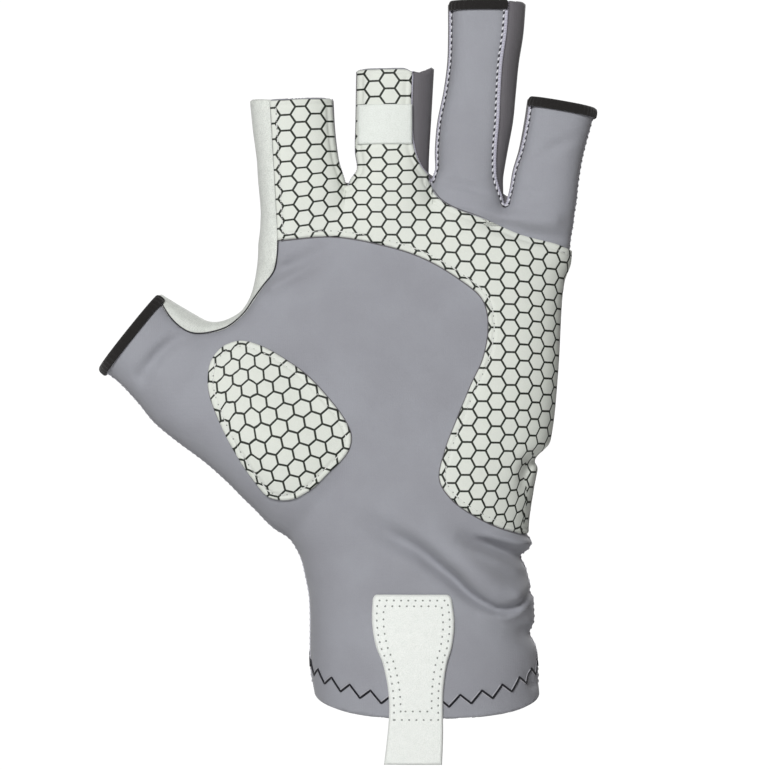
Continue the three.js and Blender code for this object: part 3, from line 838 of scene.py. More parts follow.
def thumb_tube() -> Tube:
    """The thumb's tube, from inside the palm to its opening."""
    rows = smooth_table(THUMB_ROWS)
    made = sections(
        rows["at"] * THUMB_LENGTH,
        left=rows["lower"] * THUMB_WIDTH,
        right=rows["upper"] * THUMB_WIDTH,
        front=rows["front"] * THUMB_DEPTH,
        back=rows["back"] * THUMB_DEPTH,
        power=THUMB_POWER,
    )
    start = (-0.31 * HAND_WIDTH, 0.415 * PALM_LENGTH)
    return Tube(length=THUMB_LENGTH, rows=drawn_on(made), start=start, lean=THUMB_ANGLE)


class Cloth(Enum):
    """The pieces that the cloth is cut into: the side strips in the order of their distances."""

    THUMB_INDEX = 0
    INDEX_MIDDLE = 1
    MIDDLE_RING = 2
    RING_LITTLE = 3
    FRONT = 4
    BACK = 5


@dataclass
class HandForm:
    """The outer surface of the glove's cloth as a distance: less than 0 inside, 0 on the cloth.

    Attributes:
        palm: The palm's tube.
        web: The tube that rounds off the thumb's crotch.
        thumb: The thumb's tube.
        index: The index finger's tube.
        middle: The middle finger's.
        ring: The ring finger's.
        little: The little finger's.
        thumb_blend: How far the thumb's tube is rounded into the palm's.
        web_blend: How far the web's is.
        finger_blend: How far the fingers' tubes are rounded into one another.
        palm_blend: How far they are rounded into the palm's.
        side_press: The share of a fold that presses the outer side in.
        fold_side: Where across the hand that share grows from 0 to its full size.
        fold_top: The heights that it fades out between.
        fold_depth: The depths that the folds grow between, on the front.
    """

    palm: Tube = field(default_factory=lambda: closed_tube(PALM_ROWS))
    web: Tube = field(default_factory=web_tube)
    thumb: Tube = field(default_factory=thumb_tube)
    index: Tube = field(default_factory=lambda: finger_tube(INDEX_ROWS, INDEX_LENGTH, INDEX_WIDTH))
    middle: Tube = field(
        default_factory=lambda: finger_tube(MIDDLE_ROWS, MIDDLE_LENGTH, MIDDLE_WIDTH)
    )
    ring: Tube = field(default_factory=lambda: finger_tube(RING_ROWS, RING_LENGTH, RING_WIDTH))
    little: Tube = field(
        default_factory=lambda: finger_tube(LITTLE_ROWS, LITTLE_LENGTH, LITTLE_WIDTH, LITTLE_TILT)
    )
    thumb_blend: float = 9.0
    web_blend: float = 5.0
    finger_blend: float = 0.9
    palm_blend: float = 2.6
    side_press: float = 0.8
    fold_side: tuple[float, float] = (24.0, 32.0)
    fold_top: tuple[float, float] = (90.0, 120.0)
    fold_depth: tuple[float, float] = (3.0, 12.0)

    def __post_init__(self) -> None:
        """Gives the bare rims their uneven edges, and draws the folds."""
        self.index.rim = INDEX_RIM
        self.middle.rim = MIDDLE_RIM
        rows = columns(FOLD_ROWS)
        self.folds = []
        for own in (rows["fold"] == number for number in np.unique(rows["fold"])):
            line = smooth_path(np.stack([rows["x"][own], rows["z"][own]], axis=1), 3.0)
            self.folds.append((line, rows["sink"][own], rows["wide"][own]))

    @property
    def open_tubes(self) -> list[Tube]:
        """The tubes that end in an opening."""
        return [self.thumb, self.index, self.middle, self.ring, self.little]

    def press(self, x: Array, z: Array) -> Array:
        """How far the folds press the cloth in: each is a bell across its line.

        Args:
            x: The places' x.
            z: The places' z.

        Returns:
            A depth for each place.
        """
        x, z = np.broadcast_arrays(x, z)
        total = np.zeros(x.shape)
        for line, sink, wide in self.folds:
            low, high = line.min(axis=0) - 3 * wide.max(), line.max(axis=0) + 3 * wide.max()
            near = (x > low[0]) & (x < high[0]) & (z > low[1]) & (z < high[1])
            reach, along = line_distance(x[near], z[near], line)
            place, rows = along / (len(line) - 1) * (len(sink) - 1), np.arange(len(sink))
            bell = np.exp(-((reach / np.interp(place, rows, wide)) ** 2))
            total[near] += np.interp(place, rows, sink) * bell
        return total

    def distance(self, points: Array) -> Array:
        """The distance from the cloth's outer surface at points, a row each or on an open grid.

        A fold moves the front in, and near the outer edge of the hand it moves the side in too.

        Args:
            points: The x, the y and the z of the points.

        Returns:
            A distance for each point.
        """
        x, y, z = points
        press = self.press(x, z)
        beside = smoothstep(x, *self.fold_side) * (1 - smoothstep(z, *self.fold_top))
        x = x + self.side_press * press * beside
        y = y - press * smoothstep(-y, *self.fold_depth)
        body = soft_min(self.palm.distance(x, y, z), self.web.distance(x, y, z), self.web_blend)
        body = soft_min(body, self.thumb.distance(x, y, z), self.thumb_blend)
        parts = [t.distance(x, y, z) for t in (self.index, self.middle, self.ring, self.little)]
        fingers = parts[0]
        for part in parts[1:]:
            fingers = soft_min(fingers, part, self.finger_blend)
        return soft_min(body, fingers, self.palm_blend)

    def at(self, points: Array) -> Array:
        """The distance at points, a row each."""
        return self.distance(points.T)

    def gradient(self, points: Array) -> Array:
        """The slope of the distance, from the differences over a short step.

        Args:
            points: The points, a row each.

        Returns:
            The slopes, a row each.
        """
        step = 0.05
        moves = step * np.eye(3)
        rises = [self.at(points + move) - self.at(points - move) for move in moves]
        return np.stack(rises, axis=1) / (2 * step)

    def normals(self, points: Array) -> Array:
        """Unit vectors that point away from the cloth."""
        return unit(self.gradient(points))

    def project(self, points: Array, offset: Array | float = 0.0, rounds: int = 3) -> Array:
        """Points moved along the slope until the distance is offset, by Newton's steps.

        Args:
            points: The points, a row each.
            offset: The distance that is wanted.
            rounds: How many steps are taken.

        Returns:
            The moved points.
        """
        for _ in range(rounds):
            slope = self.gradient(points)
            excess = (self.at(points) - offset)[:, None]
            move = excess * slope / np.maximum((slope**2).sum(axis=1, keepdims=True), 0.05)
            points = points - np.clip(move, -2, 2)
        return points

    def front(self, x: Array, z: Array, offset: Array | float = 0.0, side: int = -1) -> Array:
        """Points on the front (-1) or back (1) of the hand at places in its plane.

        The depth is halved between the middle plane and a depth outside the cloth.

        Args:
            x: The places' x.
            z: The places' z.
            offset: How far off the cloth.
            side: Which face.

        Returns:
            The points, a row each.
        """

        def outside(y: Array) -> Array:
            """Whether depths are outside the offset surface."""
            return self.at(np.stack([x, y, z], axis=1)) > offset

        depth = halved(outside, np.zeros_like(x), np.full_like(x, side * FAR_OUT))
        return np.stack([x, depth, z], axis=1)

    def cuff_height(self, points: Array) -> Array:
        """The height of points above the slanting plane of the cuff's edge.

        Args:
            points: The points, a row each.

        Returns:
            A height for each.
        """
        tilt = math.radians(CUFF_TILT)
        level = self.palm.column("front", 0.0) * math.tan(tilt)
        return (points[:, 2] - level) * math.cos(tilt) - points[:, 1] * math.sin(tilt)

    def opening(self, points: Array) -> Array:
        """How far points are past the nearest opening, less than 0 on the glove.

        Args:
            points: The points, a row each.

        Returns:
            A length for each.
        """
        tubes = [self.palm, self.web, *self.open_tubes]
        near = np.argmin([t.distance(*points.T) for t in tubes], axis=0)
        past = -self.cuff_height(points)
        for number, tube in enumerate(tubes):
            if tube.open:
                along, _ = tube.section(points[:, 0], points[:, 2])
                rise = np.interp(points[:, 0], *tube.rim)
                past = np.where(near == number, along - tube.length - rise, past)
        return past

    def edge(self, tube: Tube, side: int, z: Array) -> Array:
        """The x of a finger's left (-1) or right (1) edge at heights.

        Args:
            tube: The finger.
            side: Which edge.
            z: The heights.

        Returns:
            The x of each.
        """
        along = np.asarray(z) - PALM_LENGTH
        return tube.column("centre", along) + side * tube.column("left", along)

    def strip_sides(self, front: bool) -> list[Array]:
        """The outlines of the four side strips on the front or the back of the hand.

        Args:
            front: Which face of the hand.

        Returns:
            A closed outline in x and z for each strip, in the order of Cloth.
        """
        near, full = STRIP_EDGE, INSET_GROWTH
        insets = [
            (near, near, full, full),
            (0.285 * MIDDLE_WIDTH, near, 7.0, full),
            (0.256 * RING_WIDTH, near, 16.0, full),
        ]
        if not front:
            insets = [(BACK_INSET, BACK_INSET, full, full)] * 3
        pairs = [(self.index, self.middle), (self.middle, self.ring), (self.ring, self.little)]
        strips = [self.thumb_strip(front)]
        return strips + [self.finger_strip(a, b, *row) for (a, b), row in zip(pairs, insets)]

    def finger_strip(
        self, left: Tube, right: Tube, wide_left: float, wide_right: float, rise_left: float,
        rise_right: float,
    ) -> Array:
        """The outline of a strip that runs down one finger, round the crotch and up the next.

        Each seam is the finger's edge moved in by an inset, which grows from the crotch up towards
        its full size. Half an ellipse joins the two below the height where the edges meet.

        Args:
            left: The finger on its left.
            right: The one on its right.
            wide_left: The full inset on the left finger.
            wide_right: That on the right one.
            rise_left: How far up the left inset grows.
            rise_right: How far up the right one does.

        Returns:
            The closed outline in x and z.
        """
        low = 0.955 * PALM_LENGTH
        heights = np.arange(PALM_LENGTH + min(left.length, right.length), low, -0.25)
        apart = self.edge(left, 1, heights) < self.edge(right, -1, heights)
        start = heights[~apart][0] if (~apart).any() else low
        top = PALM_LENGTH + max(left.length, right.length) + BEYOND
        heights = np.linspace(start + 1, top, 60)

        def seam(tube: Tube, side: int, wide: float, rise: float) -> Array:
            """The x of one seam."""
            grown = 1 - np.exp(-(heights - start - 1) / rise)
            inset = STRIP_EDGE + (wide - STRIP_EDGE) * grown
            edge = self.edge(tube, side, np.minimum(heights, PALM_LENGTH + tube.length))
            return edge - side * inset

        a, b = seam(left, 1, wide_left, rise_left), seam(right, -1, wide_right, rise_right)
        turn = np.linspace(np.pi, 2 * np.pi, 15)[1:-1]
        middle, half = (a[0] + b[0]) / 2, (b[0] - a[0]) / 2
        bottom = np.stack(
            [middle + half * np.cos(turn), start + 1 + (STRIP_DROP + 1) * np.sin(turn)], axis=1
        )
        sides = [np.stack([a, heights], axis=1)[::-1], bottom, np.stack([b, heights], axis=1)]
        return np.concatenate(sides)

    def thumb_strip(self, front: bool) -> Array:
        """The outline of the thumb strip, with all that lies beyond its seam on the thumb side.

        The front's seam has a table. The back's runs down the index finger, round the crotch on a
        cubic Bezier curve and along the upper side of the thumb.

        Args:
            front: Which face of the hand.

        Returns:
            The closed outline in x and z.
        """
        top = PALM_LENGTH + INDEX_LENGTH
        if front:
            seam = table_curve(THUMB_SEAM)
            return np.concatenate([seam, [[-110.0, top + BEYOND], [-60.0, top + BEYOND]]])
        bend, inset = 0.84 * PALM_LENGTH, BACK_INSET
        heights = np.linspace(top + BEYOND, bend, 30)
        down = np.stack([self.edge(self.index, -1, np.minimum(heights, top)) + inset, heights], 1)
        at = np.linspace(0.71, 1.12, 20)
        upper = self.thumb.column("right", np.minimum(at, 1.0) * THUMB_LENGTH) - inset
        out = np.stack(self.thumb.place(upper, at * THUMB_LENGTH), axis=1)
        ends = [down[-1], down[-1] + [-0.5, -0.085 * PALM_LENGTH], out[0] + [9.4, -1.0], out[0]]
        t = np.linspace(0, 1, 20)[1:-1, None]
        weights = [(1 - t) ** 3, 3 * t * (1 - t) ** 2, 3 * t**2 * (1 - t), t**3]
        round_crotch = sum(w * end for w, end in zip(weights, ends))
        corner = np.array([[out[-1][0], top + BEYOND]])
        return np.concatenate([down, round_crotch, out, corner])

    def strip_distances(self, points: Array) -> Array:
        """Distances to the four side strips, a column each, less than 0 inside.

        The front's seams pass into the back's over the few millimetres round the middle plane.

        Args:
            points: The points, a row each.

        Returns:
            The distances, a row for each point.
        """
        back_share = smoothstep(points[:, 1], -2.5, 2.5)
        pairs = zip(self.strip_sides(True), self.strip_sides(False))
        x, z = points[:, 0], points[:, 2]
        return np.stack(
            [
                outline_distance(x, z, front) * (1 - back_share)
                + outline_distance(x, z, back) * back_share
                for front, back in pairs
            ],
            axis=1,
        )


@dataclass
class Sheet:
    """Triangles that lie on the hand form.

    Attributes:
        form: The hand form.
        points: The corners, a row each.
        faces: The numbers of each triangle's corners.
    """

    form: HandForm
    points: Array
    faces: Array

    def split(self, measure: Callable[[Array], Array], snap: float = 0.22) -> "Sheet":
        """Cuts the triangles along the line where a measure of their corners is 0.

        Corners whose measure is less than snap in size slide to the line first. Each edge that
        still crosses it gets a new corner there, and its triangles are parted into two or three.

        Args:
            measure: Gives a number for each point.
            snap: How near the line a corner slides to it, in the measure's own units.

        Returns:
            The cut sheet, on the form again.
        """
        points, faces = self.points.copy(), self.faces
        value = measure(points)
        near = np.abs(value) < snap
        if near.any():
            step = 0.02
            probes = [measure(points[near] + step * axis) - value[near] for axis in np.eye(3)]
            slope = np.stack(probes, axis=1) / step
            normal = self.form.normals(points[near])
            slope -= (slope * normal).sum(axis=1, keepdims=True) * normal
            size = np.maximum((slope**2).sum(axis=1, keepdims=True), 0.2)
            points[near] -= value[near, None] * slope / size
            value[near] = 0.0
        signs = np.sign(value).astype(int)
        corner_signs = signs[faces]
        crossing = corner_signs * np.roll(corner_signs, -1, axis=1) < 0
        count = crossing.sum(axis=1)
        edges = np.sort(np.stack([faces, np.roll(faces, -1, axis=1)], axis=2), axis=2)
        cut_edges, numbers = np.unique(edges[crossing], axis=0, return_inverse=True)
        a, b = cut_edges.T
        share = (value[a] / (value[a] - value[b]))[:, None]
        fresh = points[a] + share * (points[b] - points[a])
        new_number = np.full(crossing.shape, -1)
        new_number[crossing] = len(points) + numbers.ravel()
        kept = faces[count == 0]
        one, turn_one = faces[count == 1], np.argmax(crossing[count == 1], axis=1)
        pick = np.arange(len(one))[:, None], (turn_one[:, None] + np.arange(3)) % 3
        p, q, r = one[pick].T
        m = new_number[count == 1][pick][:, 0]
        halves = np.concatenate([np.stack([p, m, r], 1), np.stack([m, q, r], 1)])
        two = faces[count == 2]
        lone = (np.argmin(crossing[count == 2], axis=1) + 2) % 3
        pick = np.arange(len(two))[:, None], (lone[:, None] + np.arange(3)) % 3
        p, q, r = two[pick].T
        pq, _, rp = new_number[count == 2][pick].T
        thirds = np.concatenate([np.stack(c, 1) for c in ((p, pq, rp), (pq, q, r), (pq, r, rp))])
        whole = np.concatenate([kept, halves, thirds])
        return Sheet(self.form, np.concatenate([points, fresh]), whole)

    def kept(self, mask: Array) -> "Sheet":
        """The sheet with only the marked triangles."""
        return Sheet(self.form, self.points, self.faces[mask]).packed()

    def packed(self) -> "Sheet":
        """The sheet without the corners that no triangle uses."""
        used, numbers = np.unique(self.faces, return_inverse=True)
        return Sheet(self.form, self.points[used], numbers.reshape(self.faces.shape))

    def middles(self) -> Array:
        """The middles of the triangles."""
        return self.points[self.faces].mean(axis=1)

    def finer(self) -> "Sheet":
        """The sheet with each triangle parted into four at the middles of its edges."""
        edges = np.sort(np.stack([self.faces, np.roll(self.faces, -1, axis=1)], axis=2), axis=2)
        pairs, numbers = np.unique(edges.reshape(-1, 2), axis=0, return_inverse=True)
        fresh = self.form.project(self.points[pairs].mean(axis=1), rounds=1)
        m = len(self.points) + numbers.reshape(-1, 3)
        f = self.faces
        quarters = [
            np.stack([f[:, i], m[:, i], m[:, i - 1]], axis=1) for i in range(3)
        ] + [m]
        return Sheet(self.form, np.concatenate([self.points, fresh]), np.concatenate(quarters))

    def relaxed(self, rounds: int, share: float = 0.5) -> "Sheet":
        """The sheet with its inner corners moved towards the middles of their neighbours.

        Args:
            rounds: How often they are moved.
            share: How far, as a share of the way.

        Returns:
            The evened sheet.
        """
        ends = np.stack([self.faces, np.roll(self.faces, -1, axis=1)], axis=2).reshape(-1, 2)
        keys = np.sort(ends, axis=1)
        _, first, times = np.unique(keys, axis=0, return_index=True, return_counts=True)
        border = np.zeros(len(self.points), bool)
        border[keys[first[times == 1]].ravel()] = True
        both = np.concatenate([keys[first], keys[first][:, ::-1]])
        points = self.points
        for _ in range(rounds):
            weight = np.bincount(both[:, 0], minlength=len(points))[:, None]
            sums = [np.bincount(both[:, 0], column, len(points)) for column in points[both[:, 1]].T]
            total = np.stack(sums, axis=1)
            moved = points + share * (total / np.maximum(weight, 1) - points)
            points = np.where(border[:, None], points, moved)
            points = self.form.project(points, rounds=1)
        return Sheet(self.form, points, self.faces)


def surface_net(form: HandForm, low: Triple, high: Triple, step: float) -> Sheet:
    """The surface where the form's distance is 0, found on a grid.

    Each cell that the surface passes through gets one point, at the middle of the places where the
    cell's edges cross the surface. Each grid edge that crosses it gives a square through the points
    of the four cells round it, as two triangles that face outwards.

    Args:
        form: The hand form.
        low: The lowest corner of the grid.
        high: Its highest corner.
        step: The grid's spacing.

    Returns:
        The surface.
    """
    axes = [np.arange(a, b, step) for a, b in zip(low, high)]
    value = form.distance(np.meshgrid(*axes, indexing="ij", sparse=True))
    cells = tuple(n - 1 for n in value.shape)
    total, count = np.zeros((3, *cells)), np.zeros(cells)
    crossings = []
    for axis in range(3):
        a = np.take(value, np.arange(value.shape[axis] - 1), axis)
        b = np.take(value, np.arange(1, value.shape[axis]), axis)
        cross = (a < 0) != (b < 0)
        crossings.append((cross, a < 0))
        share = np.where(cross, a / np.where(cross, a - b, 1.0), 0.0)
        others = [n for n in range(3) if n != axis]
        for di in (0, 1):
            for dj in (0, 1):
                view = [slice(None)] * 3
                view[others[0]] = slice(di, di + cells[others[0]])
                view[others[1]] = slice(dj, dj + cells[others[1]])
                hit = cross[tuple(view)]
                count += hit
                total[axis] += share[tuple(view)]
                total[others[0]] += di * hit
                total[others[1]] += dj * hit
    used = count > 0
    number = np.full(cells, -1)
    number[used] = np.arange(used.sum())
    corner = np.stack(np.nonzero(used))
    points = (corner + total[:, used] / count[used]).T * step + np.asarray(low)
    faces = []
    for axis in range(3):
        cross, inside = crossings[axis]
        b, c = (axis + 1) % 3, (axis + 2) % 3
        where = np.nonzero(cross)
        fits = (
            (where[b] > 0) & (where[b] < cells[b]) & (where[c] > 0) & (where[c] < cells[c])
        )
        index = np.stack([w[fits] for w in where])
        quad = []
        for db, dc in ((1, 1), (0, 1), (0, 0), (1, 0)):
            cell = index.copy()
            cell[b] -= db
            cell[c] -= dc
            quad.append(number[tuple(cell)])
        quad = np.stack(quad, axis=1)
        turned = np.where(inside[tuple(index)][:, None], quad, quad[:, ::-1])
        faces.append(turned)
    quads = np.concatenate(faces)
    p = points[quads]
    short = np.linalg.norm(p[:, 0] - p[:, 2], axis=1) < np.linalg.norm(p[:, 1] - p[:, 3], axis=1)
    first = np.where(short[:, None], quads[:, [0, 1, 2]], quads[:, [0, 1, 3]])
    second = np.where(short[:, None], quads[:, [0, 2, 3]], quads[:, [1, 2, 3]])
    return Sheet(form, points, np.concatenate([first, second]))


def make_object(
    name: str, points: Array, faces: list[Array], uv: Array | None = None
) -> bpy.types.Object:
    """Puts points in millimetres and faces into a smooth mesh object at the origin.

    Args:
        name: The object's name.
        points: The corners.
        faces: Arrays of triangles or of squares.
        uv: A place on the cloth for each corner, if a pattern follows it.

    Returns:
        The object.
    """
    mesh = bpy.data.meshes.new(name)
    loops = np.concatenate([f.ravel() for f in faces]).astype(np.int32)
    sizes = np.concatenate([np.full(len(f), f.shape[1]) for f in faces])
    starts = np.concatenate([[0], np.cumsum(sizes)[:-1]]).astype(np.int32)
    mesh.vertices.add(len(points))
    mesh.vertices.foreach_set("co", (points * METRES).astype(np.float32).ravel())
    mesh.loops.add(len(loops))
    mesh.loops.foreach_set("vertex_index", loops)
    mesh.polygons.add(len(sizes))
    mesh.polygons.foreach_set("loop_start", starts)
    mesh.update(calc_edges=True)
    mesh.polygons.foreach_set("use_smooth", np.ones(len(sizes), bool))
    if uv is not None:
        layer = mesh.uv_layers.new(name="cloth")
        layer.data.foreach_set("uv", uv[loops].astype(np.float32).ravel())
    mesh.validate()
    made = bpy.data.objects.new(name, mesh)
    bpy.context.scene.collection.objects.link(made)
    return made


def closed_shell(sheet: Sheet, outer: Array, inner: Array, roll: Array) -> Part:
    """A cloth wall: an outer surface, an inner one turned round and a rounded edge between them.

    Args:
        sheet: The triangles that both surfaces share.
        outer: The outer place of each corner.
        inner: The inner place of each corner.
        roll: How far the edge bulges at each corner on the border.

    Returns:
        The corners and the faces.
    """
    faces, count = sheet.faces, len(sheet.points)
    ends = np.stack([faces, np.roll(faces, -1, axis=1)], axis=2).reshape(-1, 2)
    border = ends[~np.isin(ends[:, 0] * count + ends[:, 1], ends[:, 1] * count + ends[:, 0])]
    rim = np.unique(border)
    slot = np.full(count, -1)
    slot[rim] = 2 * count + np.arange(len(rim))
    reach = np.zeros((count, 3))
    weight = np.bincount(ends.ravel(), minlength=count)[:, None]
    for i in range(3):
        column = outer[:, i]
        reach[:, i] = np.bincount(ends[:, 0], column[ends[:, 1]], count)
        reach[:, i] += np.bincount(ends[:, 1], column[ends[:, 0]], count)
    away = outer[rim] - reach[rim] / weight[rim]
    wall = unit(outer[rim] - inner[rim])
    away = unit(away - (away * wall).sum(axis=1, keepdims=True) * wall)
    bulge = (outer[rim] + inner[rim]) / 2 + roll[rim, None] * away
    a, b = border.T
    walls = [
        np.stack([b, a, slot[a], slot[b]], axis=1),
        np.stack([slot[b], slot[a], a + count, b + count], axis=1),
    ]
    points = np.concatenate([outer, inner, bulge])
    return points, [faces, faces[:, ::-1] + count, *walls]


class Tree:
    """A node tree that is being built. Values and sockets can both be given as inputs."""

    def __init__(self, tree: bpy.types.NodeTree) -> None:
        """Takes the tree that the nodes go into."""
        self.tree = tree

    def add(
        self,
        kind: str,
        *inputs: object,
        out: int | str = 0,
        named: dict[int | str, object] | None = None,
        **settings: object,
    ) -> Socket:
        """Adds a node.

        Args:
            kind: The node's type after "ShaderNode".
            inputs: What goes into its first inputs, in order. None leaves one as it is.
            out: Which output is returned.
            named: What goes into other inputs, by their names or numbers.
            settings: Attributes of the node.

        Returns:
            The output socket.
        """
        node = self.tree.nodes.new("ShaderNode" + kind)
        for name, value in settings.items():
            setattr(node, name, value)
        for key, value in [*enumerate(inputs), *(named or {}).items()]:
            self.join(value, node.inputs[key])
        return node.outputs[out]

    def join(self, value: object, socket: Socket) -> None:
        """Links a socket to an input, or sets the input's value.

        Args:
            value: A value or another node's output.
            socket: The input.
        """
        if isinstance(value, Socket):
            self.tree.links.new(value, socket)
        elif value is not None:
            socket.default_value = value

    def math(self, operation: str, *inputs: object) -> Socket:
        """A Math node."""
        return self.add("Math", *inputs, operation=operation)

    def plus(self, a: object, b: object) -> Socket:
        """The sum of two numbers."""
        return self.math("ADD", a, b)

    def times(self, a: object, b: object) -> Socket:
        """The product of two numbers."""
        return self.math("MULTIPLY", a, b)

    def vector(self, operation: str, *inputs: object, out: int = 0) -> Socket:
        """A Vector Math node."""
        return self.add("VectorMath", *inputs, out=out, operation=operation)

    def objects(self) -> Socket:
        """Object coordinates in millimetres."""
        place = self.add("TexCoord", out="Object")
        return self.add("VectorMath", place, named={"Scale": 1 / METRES}, operation="SCALE")

    def noise(self, place: object, scale: float, detail: float = 2.0, rough: float = 0.5) -> Socket:
        """A Noise texture's value, with its scale in waves a millimetre."""
        inputs = {"Vector": place, "Scale": scale, "Detail": detail, "Roughness": rough}
        return self.add("TexNoise", out="Fac", named=inputs)

    def mix(self, share: object, a: object, b: object) -> Socket:
        """A mix of two colours."""
        return self.add("Mix", out=2, named={"Factor": share, 6: a, 7: b}, data_type="RGBA")

    def ramp(self, value: object, low: float, high: float) -> Socket:
        """Rises smoothly from 0 at low to 1 at high."""
        inputs = {"Value": value, "From Min": low, "From Max": high}
        return self.add("MapRange", out="Result", named=inputs, interpolation_type="SMOOTHSTEP")


class Nodes(Tree):
    """A material that is being built from nodes, around one Principled shader."""

    def __init__(self, name: str) -> None:
        """Starts a material with a shader and its output."""
        self.material = bpy.data.materials.new(name)
        self.material.use_nodes = True
        super().__init__(self.material.node_tree)
        self.tree.nodes.clear()
        self.shader = self.tree.nodes.new("ShaderNodeBsdfPrincipled")
        output = self.tree.nodes.new("ShaderNodeOutputMaterial")
        self.join(self.shader.outputs["BSDF"], output.inputs["Surface"])

    def bump(self, height: object, depth: float) -> None:
        """Gives the shader a bump of a height that is 0 to 1 times a depth in millimetres."""
        inputs = {"Height": height, "Distance": depth * METRES, "Strength": 1.0}
        self.join(self.add("Bump", out="Normal", named=inputs), self.shader.inputs["Normal"])

    def finish(self, base: object, roughness: object, sheen: float = 0.0) -> bpy.types.Material:
        """Sets the shader's colour, roughness and sheen.

        Args:
            base: The colour.
            roughness: The roughness.
            sheen: The strength of the sheen.

        Returns:
            The material.
        """
        for name, value in (
            ("Base Color", base),
            ("Roughness", roughness),
            ("Specular IOR Level", 0.25),
            ("Sheen Weight", sheen),
            ("Sheen Roughness", 0.5),
        ):
            self.join(value, self.shader.inputs[name])
        return self.material


def colour(red: int, green: int, blue: int) -> Colour:
    """A display colour of 0 to 255 as the light that it stands for."""
    parts = [v / 255 for v in (red, green, blue)]
    return (*[v / 12.92 if v <= 0.04045 else ((v + 0.055) / 1.055) ** 2.4 for v in parts], 1.0)


@dataclass(frozen=True)
class Knit:
    """The fine stretch knit of the panels and side strips.

    Attributes:
        name: The material's name.
        base: Its colour.
        shade: Its colour in the hollows of the knit.
        rib: The spacing of its fine ribs in millimetres.
        row: The spacing of the rows that cross them.
    """

    name: str
    base: Colour
    shade: Colour
    rib: float = 0.55
    row: float = 0.4

    def material(self) -> bpy.types.Material:
        """Fine ribs along the hand, crossed by finer rows, with a soft mottle."""
        nodes = Nodes(self.name)
        place = nodes.objects()
        x, _, z = [nodes.add("SeparateXYZ", place, out=i) for i in range(3)]
        wobble = nodes.times(nodes.noise(place, 0.6), 0.5)
        ribs, rows = (
            nodes.math("SINE", nodes.times(nodes.plus(way, wobble), 2 * math.pi / spacing))
            for way, spacing in ((x, self.rib), (z, self.row))
        )
        weave = nodes.plus(nodes.times(ribs, 0.08), nodes.times(rows, 0.14))
        grain = nodes.noise(place, 3.0, 3.0)
        height = nodes.plus(nodes.plus(weave, 0.4), nodes.times(grain, 0.5))
        mottle = nodes.ramp(nodes.noise(place, 0.05, 3.0), 0.3, 0.7)
        tone = nodes.plus(nodes.times(mottle, 0.3), nodes.times(grain, 0.35))
        nodes.bump(height, 0.07)
        return nodes.finish(nodes.mix(tone, self.base, self.shade), 0.85, 0.2)


@dataclass(frozen=True)
class GripPrint:
    """Off-white grip cloth printed with a net of dark hexagons.

    Attributes:
        name: The material's name.
        cell: The colour between the lines.
        line: The colour of the lines.
        width: The width of the lines, as a share of a hexagon.
    """

    name: str
    cell: Colour
    line: Colour
    width: float = 0.125

    def material(self) -> bpy.types.Material:
        """The net is drawn where a place is as near to a second hexagon's centre as to its own.

        Two offset rectangular lattices hold the centres. The nearer of the two gives a place's
        offset from its centre, whose longest part towards a neighbour is 0.5 on the border.
        """
        nodes = Nodes(self.name)
        uv = nodes.add("UVMap", uv_map="cloth")
        spread = nodes.vector("ADD", uv, (64 * math.sqrt(3), 64.0, 0.0))
        cell = (math.sqrt(3), 1.0, 1.0)
        half = (math.sqrt(3) / 2, 0.5, 0.0)
        offsets = []
        for shift in ((0.0, 0.0, 0.0), half):
            wrapped = nodes.vector("MODULO", nodes.vector("ADD", spread, shift), cell)
            offsets.append(nodes.vector("SUBTRACT", wrapped, half))
        sizes = [nodes.vector("LENGTH", offset, out=1) for offset in offsets]
        first = nodes.math("LESS_THAN", *sizes)
        picked = []
        for axis in range(2):
            a, b = [nodes.math("ABSOLUTE", nodes.add("SeparateXYZ", o, out=axis)) for o in offsets]
            other = nodes.times(b, nodes.math("SUBTRACT", 1.0, first))
            picked.append(nodes.plus(nodes.times(a, first), other))
        slant = nodes.plus(nodes.times(picked[0], math.sqrt(3) / 2), nodes.times(picked[1], 0.5))
        reach = nodes.math("MAXIMUM", picked[1], slant)
        place = nodes.objects()
        uneven = nodes.times(nodes.math("SUBTRACT", nodes.noise(place, 1.2, 3.0), 0.5), 0.02)
        edge = 0.5 - self.width / 2
        ink = nodes.ramp(nodes.plus(reach, uneven), edge - 0.012, edge + 0.012)
        grain = nodes.noise(place, 2.6, 3.0, 0.6)
        pale = nodes.mix(nodes.times(grain, 0.3), self.cell, colour(188, 192, 186))
        height = nodes.plus(nodes.times(ink, -0.25), nodes.times(grain, 0.3))
        nodes.bump(height, 0.15)
        rough = nodes.math("MULTIPLY_ADD", ink, -0.15, 0.75)
        return nodes.finish(nodes.mix(ink, pale, self.line), rough)


@dataclass(frozen=True)
class Suede:
    """Napped off-white cloth, for the thumb strip, the band and the pull tab."""

    name: str
    base: Colour
    shade: Colour

    def material(self) -> bpy.types.Material:
        """A fine nap of two noises."""
        nodes = Nodes(self.name)
        place = nodes.objects()
        patches = nodes.times(nodes.noise(place, 0.5), 0.15)
        nap = nodes.math("MULTIPLY_ADD", nodes.noise(place, 3.2, 4.0, 0.7), 0.85, patches)
        nodes.bump(nap, 0.2)
        tone = nodes.ramp(nap, 0.3, 0.65)
        return nodes.finish(nodes.mix(tone, self.shade, self.base), 0.92, 0.3)


@dataclass(frozen=True)
class Yarn:
    """Thread or bound edge of one colour."""

    name: str
    base: Colour

    def material(self) -> bpy.types.Material:
        """Fine fibres."""
        nodes = Nodes(self.name)
        place = nodes.objects()
        fibre = nodes.noise(place, 4.0, 3.0, 0.6)
        nodes.bump(fibre, 0.15)
        dark = tuple(0.75 * v for v in self.base[:3]) + (1.0,)
        return nodes.finish(nodes.mix(fibre, self.base, dark), 0.9, 0.2)


